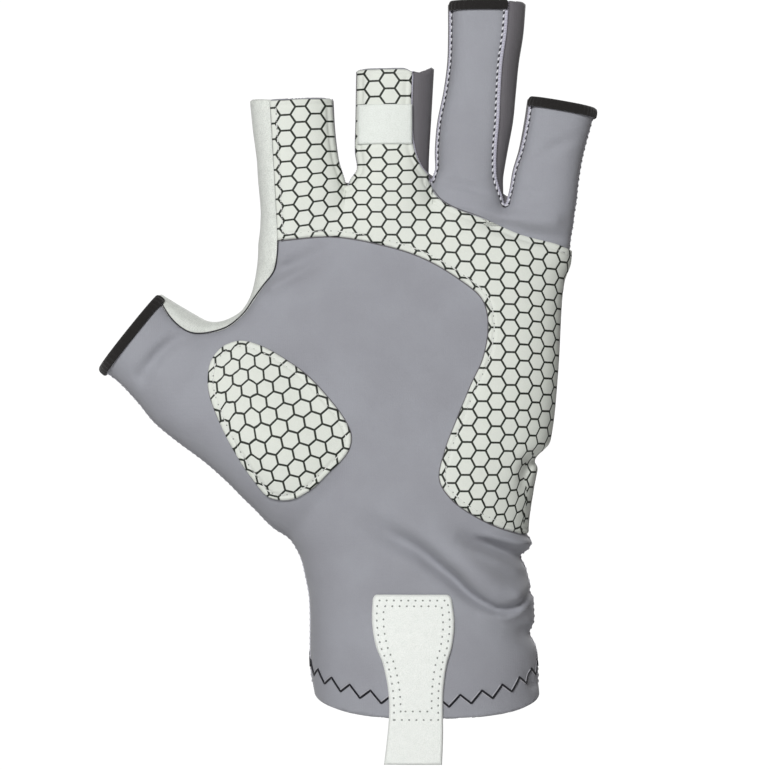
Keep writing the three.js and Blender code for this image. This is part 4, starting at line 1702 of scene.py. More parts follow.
class Slot(Enum):
    """The record's material slots."""

    KNIT = "grey_knit"
    THUMB_STRIP = "off_white_strip"
    FINGER_STRIP = "grey_strip"
    PRINT = "grip_print"
    BAND = "plain_band"
    BINDING = "black_binding"
    TAB = "tab_cloth"


def dress(made: bpy.types.Object, finish: bpy.types.Material, slot: Slot, *nodes: str) -> None:
    """Gives a piece its material, ties it to the frame and reports it.

    Args:
        made: The piece.
        finish: Its material.
        slot: The record's slot for the piece's finish; not used.
        nodes: The solids that it stands for.
    """
    made.data.materials.append(finish)
    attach(made, "root")
    if nodes:
        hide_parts(*nodes)
    LOG.info("%s: %d triangles", made.name, sum(len(p.vertices) - 2 for p in made.data.polygons))


@dataclass
class ClothBody:
    """The grey panels and the four side strips.

    Attributes:
        form: The hand form.
        low: The lowest corner of the box that the glove is looked for in.
        high: Its highest corner.
        step: The spacing of the cloth's corners.
        seam_sink: How far the cloth dips at its seams.
        seam_reach: How far from a seam it dips.
        hem_height: How high the cuff's hem is.
        hem_roll: How far a cut edge is rounded.
    """

    form: HandForm
    low: Triple = (-107.0, -29.0, -4.0)
    high: Triple = (57.0, 25.0, 228.0)
    step: float = 1.05
    seam_sink: float = 0.45
    seam_reach: float = 1.3
    hem_height: float = 8.0
    hem_roll: float = 0.5

    def build(self) -> None:
        """Finds the surface, cuts it at the openings and the seams, and makes the pieces."""
        sheet = surface_net(self.form, self.low, self.high, self.step).relaxed(3)
        sheet = sheet.split(self.form.opening)
        sheet = sheet.kept(self.form.opening(sheet.middles()) < 0)
        sheet = sheet.split(lambda p: self.form.strip_distances(p).min(axis=1))
        self.sheet = sheet.split(lambda p: p[:, 1])
        middles = self.sheet.middles()
        strips = self.form.strip_distances(middles)
        panels = Cloth.FRONT.value + (middles[:, 1] > 0)
        self.label = np.where(strips.min(axis=1) < 0, strips.argmin(axis=1), panels)
        knit = Knit("grey_knit", colour(158, 160, 167), colour(136, 136, 142)).material()
        gusset = Knit("strip_knit", colour(112, 110, 114), colour(92, 88, 92)).material()
        suede = Suede("thumb_strip_suede", colour(232, 236, 230), colour(200, 204, 198)).material()
        thumb, finger = Slot.THUMB_STRIP, Slot.FINGER_STRIP
        for name, cloth, finish, slot, node in (
            ("palm_cloth", Cloth.FRONT, knit, Slot.KNIT, "palm_panel"),
            ("back_cloth", Cloth.BACK, knit, Slot.KNIT, "back_panel"),
            ("thumb_index_strip", Cloth.THUMB_INDEX, suede, thumb, "gusset_thumb_index"),
            ("index_middle_strip", Cloth.INDEX_MIDDLE, gusset, finger, "gusset_index_middle"),
            ("middle_ring_strip", Cloth.MIDDLE_RING, gusset, finger, "gusset_middle_ring"),
            ("ring_little_strip", Cloth.RING_LITTLE, gusset, finger, "gusset_ring_little"),
        ):
            dress(make_object(name, *self.wall(cloth)), finish, slot, node)

    def cut(self, cloth: Cloth) -> Sheet:
        """The triangles of one panel or strip."""
        return self.sheet.kept(self.label == cloth.value)

    def wall(self, cloth: Cloth) -> Part:
        """One panel or strip with its wall, which dips on a bell at its seams.

        Args:
            cloth: Which of them.

        Returns:
            The corners and the faces.
        """
        part = self.cut(cloth)
        strips = self.form.strip_distances(part.points)
        side = np.where(strips.min(axis=1) > 0, np.abs(part.points[:, 1]), 9.0)
        seam = np.minimum(np.abs(strips).min(axis=1), side)
        dip = self.seam_sink * np.exp(-((seam / self.seam_reach) ** 2))
        outer = self.form.project(part.points, -dip)
        hem = smoothstep(self.form.cuff_height(part.points), self.hem_height + 1, self.hem_height)
        inner = self.form.project(
            outer - FABRIC * self.form.normals(outer), -dip - FABRIC * (1 + hem), rounds=2
        )
        cut = np.abs(self.form.opening(part.points)) < 0.05
        return closed_shell(part, outer, inner, np.where(cut, self.hem_roll, 0.02))


@dataclass
class ClothMap:
    """How far apart places on the front are along the cloth, for patterns that are printed on it.

    The cloth's slope is added up across the hand from a line that the palm is flat to, and down it
    from a level.

    Attributes:
        form: The hand form.
        turn: The depth that the outer side begins at, from where its lengths are measured straight.
        step: The spacing of the grid of depths.
        steepest: The greatest slope that counts.
        flat_to: Where the palm is flat to, and the first length starts.
        level: The height where the second length starts.
        within: A place across the hand that is inside the outer side everywhere.
    """

    form: HandForm
    turn: float = -10.0
    step: float = 1.25
    steepest: float = 1.3
    flat_to: float = 8.0
    level: float = 130.0
    within: float = 15.0

    def __post_init__(self) -> None:
        """Works out the grids of lengths along the cloth."""
        self.x = np.arange(-80.0, 52.0, self.step)
        self.z = np.arange(46.0, 202.0, self.step)
        x, z = np.meshgrid(self.x, self.z, indexing="ij")
        depth = self.form.front(x.ravel(), z.ravel())[:, 1].reshape(x.shape)
        lengths = []
        for axis in range(2):
            slope = np.clip(np.gradient(depth, self.step, axis=axis), -self.steepest, self.steepest)
            extra = np.where(depth < -4, np.sqrt(1 + slope**2) - 1, 0.0)
            lengths.append(np.cumsum(extra, axis=axis) * self.step)
        across, up = lengths
        across -= across[np.searchsorted(self.x, self.flat_to)]
        self.across = x + across * smoothstep(x, self.flat_to, self.flat_to + 12)
        up -= up[:, np.searchsorted(self.z, self.level)][:, None]
        self.up = z + up * smoothstep(-z, -self.level - 4, -self.level + 4)

        def outside(side: Array) -> Array:
            """Whether places at the depth of the turn are outside the cloth."""
            return self.form.at(np.stack([side, 0 * side + self.turn, self.z], axis=1)) > 0

        low, high = np.full(len(self.z), self.within), np.full(len(self.z), 60.0)
        self.side = halved(outside, low, high)

    def places(self, points: Array) -> Array:
        """The lengths across and up the cloth of points near it.

        Args:
            points: The points, a row each.

        Returns:
            The two lengths, a row for each point.
        """
        side = np.interp(points[:, 2], self.z, self.side)
        beyond = (points[:, 1] > self.turn) & (points[:, 0] > self.within)
        straight = np.hypot(points[:, 0] - side, points[:, 1] - self.turn) * beyond
        x = np.where(beyond, side, points[:, 0])
        i = np.clip((x - self.x[0]) / self.step, 0, len(self.x) - 1.001)
        j = np.clip((points[:, 2] - self.z[0]) / self.step, 0, len(self.z) - 1.001)
        i0, j0 = i.astype(int), j.astype(int)
        s, t = i - i0, j - j0
        across, up = (
            (g[i0, j0] * (1 - s) + g[i0 + 1, j0] * s) * (1 - t)
            + (g[i0, j0 + 1] * (1 - s) + g[i0 + 1, j0 + 1] * s) * t
            for g in (self.across, self.up)
        )
        return np.stack([across + straight, up], axis=1)


class PrintNet:
    """Which column and row of the printed net a place on the cloth has.

    The net is a flat slope plus a bend r^2 log r round each centre in a table, with a little give.
    """

    give: float = 40.0

    def __init__(self, cloth_map: ClothMap, table: str) -> None:
        """Solves for the slopes and the bends from the table's centres.

        Args:
            cloth_map: The lengths along the cloth.
            table: The centres' x and z, and their columns and rows in the net.
        """
        rows = columns(table)
        self.cloth_map = cloth_map
        self.knots = cloth_map.places(cloth_map.form.front(rows["x"], rows["z"]))
        count = len(self.knots)
        system = np.zeros((count + 3, count + 3))
        system[:count, :count] = self.bend(self.knots) + self.give * np.eye(count)
        system[:count, count:] = self.slope(self.knots)
        system[count:, :count] = self.slope(self.knots).T
        net = np.zeros((count + 3, 2))
        net[:count] = np.stack([rows["column"] * math.sqrt(3) / 2, rows["row"]], axis=1)
        self.weights = np.linalg.solve(system, net)

    def bend(self, places: Array) -> Array:
        """r^2 log r to each centre, a column each."""
        square = ((places[:, None] - self.knots[None]) ** 2).sum(axis=2)
        return square * np.log(np.maximum(square, 1e-9)) / 2

    def slope(self, places: Array) -> Array:
        """One and the two lengths along the cloth."""
        return np.concatenate([np.ones((len(places), 1)), places], axis=1)

    def places(self, points: Array) -> Array:
        """The column, in half root threes, and the row of each point."""
        lengths = self.cloth_map.places(points)
        return np.concatenate([self.bend(lengths), self.slope(lengths)], axis=1) @ self.weights


def grid_slab(outer: Array, inner: Array) -> Part:
    """A closed slab between two grids of points.

    Args:
        outer: The outer grid, rows by columns by 3. Its rows run down and its columns to +X.
        inner: The inner grid.

    Returns:
        The corners and the faces.
    """
    rows, cols = outer.shape[:2]
    number = np.arange(rows * cols).reshape(rows, cols)
    a, b, c, d = number[:-1, :-1], number[1:, :-1], number[1:, 1:], number[:-1, 1:]
    front = np.stack([a, b, c, d], axis=-1).reshape(-1, 4)
    ring = np.concatenate([number[:, 0], number[-1, 1:], number[-2::-1, -1], number[0, -2:0:-1]])
    follow = np.roll(ring, -1)
    count = rows * cols
    wall = np.stack([follow, ring, ring + count, follow + count], axis=1)
    points = np.concatenate([outer.reshape(-1, 3), inner.reshape(-1, 3)])
    return points, [front, front[:, ::-1] + count, wall]


def laid_slab(form: HandForm, x: Array, z: Array, height: Array, under: float) -> Part:
    """A slab on the front of the hand, between two heights over the cloth.

    Args:
        form: The hand form.
        x: A grid of places across the hand.
        z: Their heights.
        height: How far the slab's face is over the cloth there.
        under: How far its underside is.

    Returns:
        The corners and the faces.
    """
    lifts = height.ravel(), under
    outer, inner = (form.front(x.ravel(), z.ravel(), lift).reshape(*x.shape, 3) for lift in lifts)
    points, faces = grid_slab(outer, inner)
    return points, facing_out(points, faces)


def swept(grid: Array, closed: bool) -> Part:
    """The surface through a closed profile carried along a path.

    Args:
        grid: Its points, path by profile by 3.
        closed: Whether the path is closed. An open one gets a cap on each end.

    Returns:
        The corners and the faces.
    """
    rows, cols = grid.shape[:2]
    number = np.arange(rows * cols).reshape(rows, cols)
    follow = np.roll(number, -1, axis=0) if closed else number[1:]
    here = number if closed else number[:-1]
    quads = np.stack(
        [here, np.roll(here, -1, axis=1), np.roll(follow, -1, axis=1), follow], axis=-1
    ).reshape(-1, 4)
    faces = [quads]
    points = grid.reshape(-1, 3)
    if not closed:
        hubs = np.stack([grid[0].mean(axis=0), grid[-1].mean(axis=0)])
        points = np.concatenate([points, hubs])
        for row, hub, turn in ((number[0], rows * cols, 1), (number[-1], rows * cols + 1, -1)):
            fan = np.stack([np.roll(row, -1), row, np.full(cols, hub)], axis=1)
            faces.append(fan[:, ::turn])
    return points, faces


def facing_out(points: Array, faces: list[Array]) -> list[Array]:
    """Turns all faces of a closed surface round if it encloses less than nothing.

    Args:
        points: The corners.
        faces: The faces.

    Returns:
        The faces, facing outwards.
    """
    tris = np.concatenate([f[:, [0, i, i + 1]] for f in faces for i in range(1, f.shape[1] - 1)])
    a, b, c = (points[tris[:, i]] for i in range(3))
    volume = (a * np.cross(b, c)).sum()
    return faces if volume > 0 else [f[:, ::-1] for f in faces]


@dataclass
class Route:
    """A line on the cloth.

    Attributes:
        points: Its points, evenly spaced.
        normals: The direction away from the cloth at each.
    """

    points: Array
    normals: Array

    @property
    def ahead(self) -> Array:
        """Unit vectors along the line."""
        return unit(np.gradient(self.points, axis=0))

    @property
    def beside(self) -> Array:
        """Unit vectors across the line, on the cloth, to the right as the line runs."""
        return unit(np.cross(self.ahead, self.normals))

    def moved(self, aside: float, out: float) -> "Route":
        """The line moved to its right and away from the cloth."""
        return Route(self.points + aside * self.beside + out * self.normals, self.normals)

    def spaced(self, step: float, start: float = 0.0) -> "Route":
        """The line with its points at another spacing.

        Args:
            step: The spacing.
            start: How far along its first point is.

        Returns:
            The line with the new points.
        """
        run = run_lengths(self.points)
        places = np.arange(start, run[-1], step)
        return Route(sampled(places, run, self.points), unit(sampled(places, run, self.normals)))


def route(
    form: HandForm, line: Array, side: int = -1, out: float = 0.0, step: float = 0.5
) -> Route:
    """A line in the plane of the hand, laid on the front (-1) or back (1) as far as the openings.

    Args:
        form: The hand form.
        line: The line's corners in x and z.
        side: Which face.
        out: How far off the cloth.
        step: The spacing of its points.

    Returns:
        The route.
    """
    flat = even(line, step)
    flat = flat[form.at(np.stack([flat[:, 0], 0 * flat[:, 0], flat[:, 1]], axis=1)) < -0.05]
    points = form.front(flat[:, 0], flat[:, 1], out, side)
    points = points[form.opening(points) < 0.2]
    points = even(points, step)
    return Route(points, form.normals(points))


def joined(parts: list[Part]) -> Part:
    """Several bodies as one mesh.

    Args:
        parts: The bodies.

    Returns:
        All their corners and faces.
    """
    starts = np.cumsum([0] + [len(points) for points, _ in parts])
    faces = [face + start for (_, group), start in zip(parts, starts) for face in group]
    return np.concatenate([points for points, _ in parts]), faces


def cord(line: Route, width: float, height: float, sides: int = 8, ripple: float = 0.0) -> Part:
    """A ridge along a route: an ellipse carried along it, which may swell and shrink in beads.

    Args:
        line: The route of its middle.
        width: Its width.
        height: Its height.
        sides: Points round the ellipse.
        ripple: The share that it swells by, once a millimetre.

    Returns:
        The ridge.
    """
    turn = np.linspace(0, 2 * np.pi, sides + 1)[:-1]
    run = np.linspace(0, run_lengths(line.points)[-1], len(line.points))
    swell = (1 + ripple * np.sin(2 * np.pi * run))[:, None, None]
    ends = np.clip(np.minimum(run, run[-1] - run) / width, 0.3, 1)[:, None, None]
    ring = np.cos(turn)[None, :, None] * line.beside[:, None] * width / 2
    ring = ring + np.sin(turn)[None, :, None] * line.normals[:, None] * height / 2
    points, faces = swept(line.points[:, None] + ring * swell * ends, closed=False)
    return points, facing_out(points, faces)


@dataclass(frozen=True)
class Stitch:
    """The size of a stitch, or of a dot painted as the shade where a needle pierced the cloth.

    Attributes:
        length: Its length.
        width: Its width.
        height: Its height.
        slant: The angle that it is turned by on the cloth, in degrees.
    """

    length: float
    width: float
    height: float
    slant: float = 0.0


def stitches(line: Route, size: Stitch) -> Part:
    """A stitch at each point of a route: a rounded bar that thins to its ends.

    Args:
        line: The stitches' middles.
        size: The size of one.

    Returns:
        All the stitches.
    """
    u = np.array([-1.0, -0.8, -0.35, 0.35, 0.8, 1.0])
    radius = (1 - u**4) ** 0.5 + 0.05
    turn = np.linspace(0, 2 * np.pi, 7)[:-1]
    a = math.radians(size.slant)
    ex = line.ahead * math.cos(a) + line.beside * math.sin(a)
    ey = line.beside * math.cos(a) - line.ahead * math.sin(a)
    bar = (
        ((u * size.length / 2)[:, None], ex),
        (radius[:, None] * np.cos(turn) * size.width / 2, ey),
        (radius[:, None] * np.sin(turn) * size.height / 2, line.normals),
    )
    offsets = sum(reach[None, ..., None] * way[:, None, None] for reach, way in bar)
    grids = line.points[:, None, None] + offsets
    points, faces = swept(grids[0], closed=False)
    faces = facing_out(points, faces)
    hubs = grids[:, [0, -1]].mean(axis=2)
    all_points = np.concatenate([grids.reshape(len(grids), -1, 3), hubs], axis=1)
    starts = (np.arange(len(grids)) * len(points))[:, None, None]
    return all_points.reshape(-1, 3), [(f[None] + starts).reshape(-1, f.shape[1]) for f in faces]


def sew(name: str, parts: list[Part], yarn: str, tint: tuple[int, int, int], slot: Slot) -> None:
    """Makes one piece of thread from its parts, and dresses it in yarn."""
    dress(make_object(name, *joined(parts)), Yarn(yarn, colour(*tint)).material(), slot)


@dataclass
class GripCloth:
    """The printed cloth: a patch over two fingers and the outer palm, and an oval by the thumb.

    Attributes:
        body: The cloth that it is sewn to.
        lift: How far its underside is above that cloth.
        thickness: How thick it is.
        edge: How far in from its edge it is rounded off.
        stitch_inset: How far in from its edge the stitches run.
        stitch_sink: How deep they pull the cloth in.
        seam_low: The height that the stitches along the thumb strip end at.
        pitch: From one stitch to the next.
        thread: The size of a stitch.
        hole_shade: The size of a grey dot painted as the shade where the needle pierced.
    """

    body: ClothBody
    lift: float = 0.1
    thickness: float = 0.85
    edge: float = 0.9
    stitch_inset: float = 1.7
    stitch_sink: float = 0.35
    seam_low: float = 146.0
    pitch: float = 2.3
    thread: Stitch = Stitch(1.5, 0.42, 0.3)
    hole_shade: Stitch = Stitch(0.5, 0.45, 0.2)

    def palm_outline(self) -> Array:
        """The outline of the palm patch: the strips and the side seam cut it on its other sides."""
        form = self.body.form
        lower, upper = table_curve(PATCH_LOWER_EDGE), table_curve(PATCH_UPPER_EDGE)
        outside, top = 0.7 * HAND_WIDTH, PALM_LENGTH + MIDDLE_LENGTH + BEYOND
        seam = form.edge(form.middle, 1, np.array([PALM_LENGTH + 5]))[0]
        return np.concatenate(
            [
                [[-outside, lower[0][1]]],
                lower,
                [[outside, lower[-1][1]], [outside, upper[0][1]]],
                upper,
                [[seam, PALM_LENGTH + 5], [upper[-1][0], top], [-outside, top]],
            ]
        )

    def thumb_outline(self) -> Array:
        """The outline of the oval patch."""
        return table_curve(THUMB_PATCH_EDGE, closed=True)[:-1]

    def build(self) -> None:
        """Makes both patches."""
        cloth_map = ClothMap(self.body.form)
        cell, line = colour(224, 228, 220), colour(44, 48, 42)
        finish = GripPrint("grip_print", cell, line).material()
        palm_net, thumb_net = PrintNet(cloth_map, PALM_NET), PrintNet(cloth_map, THUMB_NET)
        self.trim()
        self.patch("palm_grip_cloth", self.palm_outline(), finish, palm_net, "grip_patch_palm")
        self.patch("thumb_grip_cloth", self.thumb_outline(), finish, thumb_net, "grip_patch_thumb")

    def trim(self) -> None:
        """Sews the cloth down: white stitches, grey dots between them painted as the shade where
        the needle pierced, and a dark cord that paints the shade along the cut edge.
        """
        form = self.body.form
        top = self.lift + self.thickness - self.stitch_sink
        lower, upper = table_curve(PATCH_LOWER_EDGE), table_curve(PATCH_UPPER_EDGE)
        oval = np.vstack([self.thumb_outline(), self.thumb_outline()[:1]])
        seam = np.array(form.strip_sides(True)[0])[:-2]
        threads, hole_shades, rim_shades = [], [], []
        for line, aside, rim in (
            (lower, -1, True),
            (upper, -1, True),
            (oval, 1, True),
            (seam[seam[:, 1] > self.seam_low], -1, False),
        ):
            edge = route(form, line, out=top)
            inset = edge.moved(aside * self.stitch_inset, 0.0)
            threads.append(stitches(inset.spaced(self.pitch, 0.8), self.thread))
            # Grey dots between the stitches: painted shade where the needle pierced the cloth.
            hole_shades.append(stitches(inset.spaced(self.pitch, 0.8 + self.pitch / 2), self.hole_shade))
            # Where rim is set, a dark grey cord round the patch's base marks its cut edge, with the
            # shade along it painted in.
            if rim:
                rim_shades.append(cord(edge.moved(-0.1 * aside, -0.35 - self.stitch_sink), 0.4, 0.5))
        sew("grip_cloth_stitches", threads, "grip_thread", (236, 238, 234), Slot.PRINT)
        # The grey of these dots is painted shade, not thread.
        sew("grip_cloth_hole_shades", hole_shades, "grip_hole_shades", (150, 152, 150), Slot.PRINT)
        # The cord's dark grey is painted shade at the cut edge.
        sew("grip_cloth_edge_shades", rim_shades, "grip_edge_shade", (112, 110, 114), Slot.PRINT)

    def patch(
        self, name: str, outline: Array, finish: bpy.types.Material, net: PrintNet, node: str
    ) -> None:
        """Makes one patch.

        Its height over the cloth rises from the edge on a quarter round, and dips on a bell along
        the line of stitches.

        Args:
            name: The piece's name.
            outline: Its outline in x and z.
            finish: Its material.
            net: The printed net.
            node: The solid that it stands for.
        """
        form = self.body.form
        sheet = self.body.cut(Cloth.FRONT)

        def inside(points: Array) -> Array:
            """The distance to the outline."""
            return outline_distance(points[:, 0], points[:, 2], outline)

        sheet = sheet.split(inside)
        sheet = sheet.kept(inside(sheet.middles()) < 0).finer()
        points = sheet.points
        others = [form.strip_distances(points).min(axis=1), -points[:, 1], -form.opening(points)]
        border = np.maximum(np.minimum.reduce([-inside(points), *others]), 0)
        rise = quarter_round(border, self.edge)
        stitch = np.exp(-(((border - self.stitch_inset) / 0.45) ** 2))
        height = self.lift + self.thickness * (0.25 + 0.75 * rise) - self.stitch_sink * stitch
        outer = form.project(points, height)
        inner = form.project(points, self.lift - 0.05, rounds=2)
        made_points, faces = closed_shell(sheet, outer, inner, np.zeros(len(points)))
        made = make_object(name, made_points, faces, net.places(made_points))
        dress(made, finish, Slot.PRINT, node)


@dataclass
class FingerBand:
    """The plain band across the front of the middle finger.

    Attributes:
        form: The hand form.
        left: Its left edge.
        right: Its right edge.
        low: Its lower edge.
        high: Its upper edge.
        lift: How far its underside is above the finger's cloth.
        thickness: How thick it is.
    """

    form: HandForm
    left: float = -20.9
    right: float = -4.0
    low: float = 175.1
    high: float = 187.4
    lift: float = 1.0
    thickness: float = 0.7

    def build(self) -> None:
        """Lays a grid on the finger: its height falls to its underside at its edges."""
        u, v = np.linspace(0, 1, 42), np.linspace(0, 1, 34)
        down = self.high + (self.low - self.high) * v
        z, x = np.meshgrid(down, self.left + (self.right - self.left) * u, indexing="ij")
        border = np.minimum.reduce([x - self.left, self.right - x, z - self.low, self.high - z])
        height = self.lift + self.thickness * (0.2 + 0.8 * quarter_round(border, 0.6))
        slab = laid_slab(self.form, x, z, height, self.lift - 0.3)
        suede = Suede("band_suede", colour(234, 239, 234), colour(220, 225, 219)).material()
        dress(make_object("finger_band", *slab), suede, Slot.BAND, "middle_finger_band")


@dataclass
class PullTab:
    """The tab that lies on the front of the cuff and hangs past its edge.

    Attributes:
        form: The hand form.
        centre: Where its line is.
        width: The width that its table is in shares of.
        length: Its length.
        hang: How far it hangs past the lowest point of the cuff.
        lift: How far its underside is above the cuff.
        thickness: How thick it is.
        rings: The lines of grey dots painted as the shade where the needle pierced: inset from the
            sides, from the top, and lowest height.
        pitch: From one dot to the next.
        hole_shade: The size of one painted shade dot.
    """

    form: HandForm
    centre: float = -4.04
    width: float = 24.6
    length: float = 51.6
    hang: float = 14.3
    lift: float = 0.25
    thickness: float = 1.45
    rings: tuple[Triple, ...] = ((1.5, 1.3, -0.55), (3.5, 3.1, 1.9))
    pitch: float = 2.2
    hole_shade: Stitch = Stitch(0.62, 0.5, 0.3)

    def build(self) -> None:
        """Lays a grid on the front of the palm's tube, which runs on past the cuff's edge."""
        u, v = np.linspace(0, 1, 61), np.linspace(0, 1, 121)
        rows = smooth_table(TAB_ROWS)
        left, right = (np.interp(v, rows["at"], rows[side])[:, None] for side in ("left", "right"))
        x = self.centre + self.width * (-left + (left + right) * u)
        z = np.broadcast_to((self.length - self.hang - v * self.length)[:, None], x.shape)
        border = np.minimum.reduce([x - x[:, :1], x[:, -1:] - x, z - z[-1, 0], z[0, 0] - z])
        height = self.lift + self.thickness * (0.15 + 0.85 * quarter_round(border, 0.8))
        slab = laid_slab(self.form, x, z, height, self.lift)
        suede = Suede("tab_suede", colour(246, 249, 245), colour(230, 235, 230)).material()
        dress(make_object("pull_tab_cloth", *slab), suede, Slot.TAB, "pull_tab")
        rings = [self.ring(z[:, 0], x[:, 0], x[:, -1], *row) for row in self.rings]
        # Grey dots along two lines inside the edge: painted shade where the needle pierced, not
        # thread.
        hole_shades = [stitches(ring.spaced(self.pitch), self.hole_shade) for ring in rings]
        sew("pull_tab_hole_shades", hole_shades, "tab_hole_shades", (156, 161, 156), Slot.TAB)

    def ring(
        self, z: Array, left: Array, right: Array, inset: float, fall: float, low: float
    ) -> Route:
        """A line of painted shade dots inside the tab's edge, closed at a height above the tab's
        loose end.

        Args:
            z: Heights down the tab.
            left: Its left edge there.
            right: Its right edge there.
            inset: How far in from the sides the line runs.
            fall: How far under the top edge.
            low: The height that it closes at.

        Returns:
            The line, on the face of the tab.
        """
        kept = (z < z[0] - fall) & (z > low)
        a, b = (np.stack([x, z], axis=1)[kept] for x in (left + inset, right - inset))
        flat = even(np.concatenate([a[::-1], b, a[-1:]]), 0.5)
        points = self.form.front(flat[:, 0], flat[:, 1], self.lift + self.thickness)
        return Route(points, self.form.normals(points))


@dataclass
class Bindings:
    """The black bindings that fold over the openings of the thumb, ring and little finger.

    Attributes:
        form: The hand form.
        count: How many places round an opening.
        gap: How far a binding's end stays from the side strip.
    """

    form: HandForm
    count: int = 260
    gap: float = 0.2

    def rim(self, tube: Tube, out: Array, past: Array, turn: Array) -> Array:
        """Points round an opening: the superellipse of the tube's end, grown and drawn on.

        Args:
            tube: The finger or thumb.
            out: How far out from the cloth.
            past: How far past the opening.
            turn: The angle round the section.

        Returns:
            A grid of points, turn by profile by 3.
        """
        along = tube.length + past
        power = 2 / tube.column("power", tube.length)
        c, s = np.cos(turn)[:, None], np.sin(turn)[:, None]
        c, s = np.sign(c) * np.abs(c) ** power, np.sign(s) * np.abs(s) ** power
        left, right, front, back = (
            tube.column(name, tube.length) for name in ("left", "right", "front", "back")
        )
        wide, deep = np.where(c < 0, left, right) + out, np.where(s < 0, front, back) + out
        across = c * wide
        lean = along + tube.column("tilt", tube.length) * across
        x, z = tube.place(tube.column("centre", along) + across, lean)
        return np.stack([x, s * deep + 0 * x, z], axis=-1)

    def build(self) -> None:
        """Makes the four bindings."""
        yarn = Yarn("black_binding", colour(34, 32, 31)).material()
        form = self.form
        for name, tube, side, node in (
            ("thumb_hem_binding", form.thumb, None, "thumb_binding"),
            ("little_hem_binding", form.little, None, "little_binding"),
            ("ring_hem_binding_front", form.ring, -1, "ring_binding_front"),
            ("ring_hem_binding_back", form.ring, 1, "ring_binding_back"),
        ):
            dress(make_object(name, *self.arc(tube, side)), yarn, Slot.BINDING, node)

    def arc(self, tube: Tube, side: int | None) -> Part:
        """One binding, from one side strip round to the next.

        Args:
            tube: The finger or thumb.
            side: The face of the hand that it stays on, if it is a half.

        Returns:
            The corners and the faces.
        """
        fine = np.linspace(0, 2 * math.pi, 2001)[:-1]
        places = self.rim(tube, np.zeros(1), np.zeros(1), fine)[:, 0]
        free = self.form.strip_distances(places).min(axis=1) > self.gap
        if side is not None:
            free &= places[:, 1] * side > 0
        first = int(np.argmax(~free))
        order = np.roll(np.arange(len(fine)), -first)
        run = order[free[order]]
        ends = fine[run[0]], fine[run[-1]]
        turn = np.linspace(ends[0], ends[1] + (2 * math.pi if ends[1] < ends[0] else 0), self.count)
        rows = columns(BINDING_ROWS)
        ripple = 0.06 * np.sin(turn * len(turn) / 6)[:, None]
        grid = self.rim(tube, rows["out"] * (1 + ripple), rows["past"], turn)
        points, faces = swept(grid, closed=False)
        return points, facing_out(points, faces)


@dataclass
class SideSeams:
    """The seams between panels and side strips, and down the sides of the hand.

    Attributes:
        form: The hand form.
        pitch: From one stitch to the next.
        ridge: The width of the seam's ridge.
        rise: Its height.
        aside: How far beside the seam its stitches are.
        outer_aside: The same for the seam down the outer side of the hand.
        thread: The size of a stitch.
        side_thread: The size of one down the sides of the hand.
        mark_shade: The size of a dark dot painted as the shade where the needle pierced.
        loop: The size of a loop of the overlock thread.
    """

    form: HandForm
    pitch: float = 1.9
    ridge: float = 1.15
    rise: float = 0.9
    aside: float = 0.85
    outer_aside: float = -1.3
    thread: Stitch = Stitch(1.2, 0.56, 0.5, 24)
    side_thread: Stitch = Stitch(1.5, 0.5, 0.5, 60)
    mark_shade: Stitch = Stitch(0.85, 0.6, 0.35, 24)
    loop: Stitch = Stitch(1.1, 0.38, 0.35, 68)

    def edge_route(self, tube: Tube, side: int, low: float, high: float) -> Array:
        """Points where a tube's side meets the middle plane, between two places along it.

        Args:
            tube: The tube.
            side: Its left (-1) or right (1) side.
            low: Where the line starts along it.
            high: Where it ends.

        Returns:
            The points, a row each.
        """
        along = np.arange(low, high, 0.5)

        def points(across: Array) -> Array:
            """Points of the middle plane at distances across the tube."""
            x, z = tube.place(across, along)
            return np.stack([x, 0 * x, z], axis=1)

        outer = np.full_like(along, side * 80.0)
        inside = tube.column("centre", along)
        return points(halved(lambda across: self.form.at(points(across)) > 0, inside, outer))

    def build(self) -> None:
        """Makes the ridges and the stitches, with dark dots beside them painted as the shade where
        the needle pierced, and a dark cord that paints the shade along the thumb strip's seam.
        """
        form = self.form
        ridges, threads, mark_shades, loops = [], [], [], []
        for side in (-1, 1):
            outlines = form.strip_sides(side < 0)
            for outline in outlines[1:]:
                line = route(form, outline, side, out=-0.15)
                ridges.append(cord(line, self.ridge, self.rise, ripple=0.08))
                aside = -self.aside * side
                spots = line.moved(aside, 0.15).spaced(self.pitch, 0.5)
                threads.append(stitches(spots, self.thread))
                # Dark dots between the stitches: painted shade where the needle pierced the cloth.
                spots = line.moved(aside, 0.08).spaced(self.pitch, 0.5 + self.pitch / 2)
                mark_shades.append(stitches(spots, self.mark_shade))
                loops.append(stitches(line.moved(0, 0.34).spaced(0.8), self.loop))
            # A dark cord on the thumb strip's seam: the seam's edge, darkened with painted shade.
            thumb = route(form, outlines[0][:-2], side, out=-0.2)
            mark_shades.append(cord(thumb, 0.4, 0.45))
        little = self.edge_route(form.little, 1, -14, form.little.length - 1.5)
        palm = self.edge_route(form.palm, 1, 9.5, PALM_LENGTH - 15)
        outer = even(np.concatenate([palm, little]), 0.6)
        thumb = self.edge_route(form.thumb, -1, 16, form.thumb.length - 1.5)
        inner = even(np.concatenate([self.edge_route(form.palm, -1, 9.5, 60), thumb]), 0.6)
        for points, aside in ((outer, self.outer_aside), (inner, 0.0)):
            points = form.project(points, -0.25)
            line = Route(points, form.normals(points))
            ridges.append(cord(line, 0.9, 0.8, ripple=0.05))
            threads.append(stitches(line.moved(aside, 0.3).spaced(self.pitch), self.side_thread))
        for name, parts, yarn, tint in (
            ("seam_ridges", ridges, "seam_ridge", (206, 206, 220)),
            ("seam_stitches", threads, "seam_thread", (236, 236, 242)),
            ("seam_overlock", loops, "overlock_thread", (196, 192, 206)),
            # These dark dots and the thumb seam's cord are painted shade, not thread.
            ("seam_needle_mark_shades", mark_shades, "needle_mark_shades", (58, 56, 62)),
        ):
            sew(name, parts, yarn, tint, Slot.KNIT)


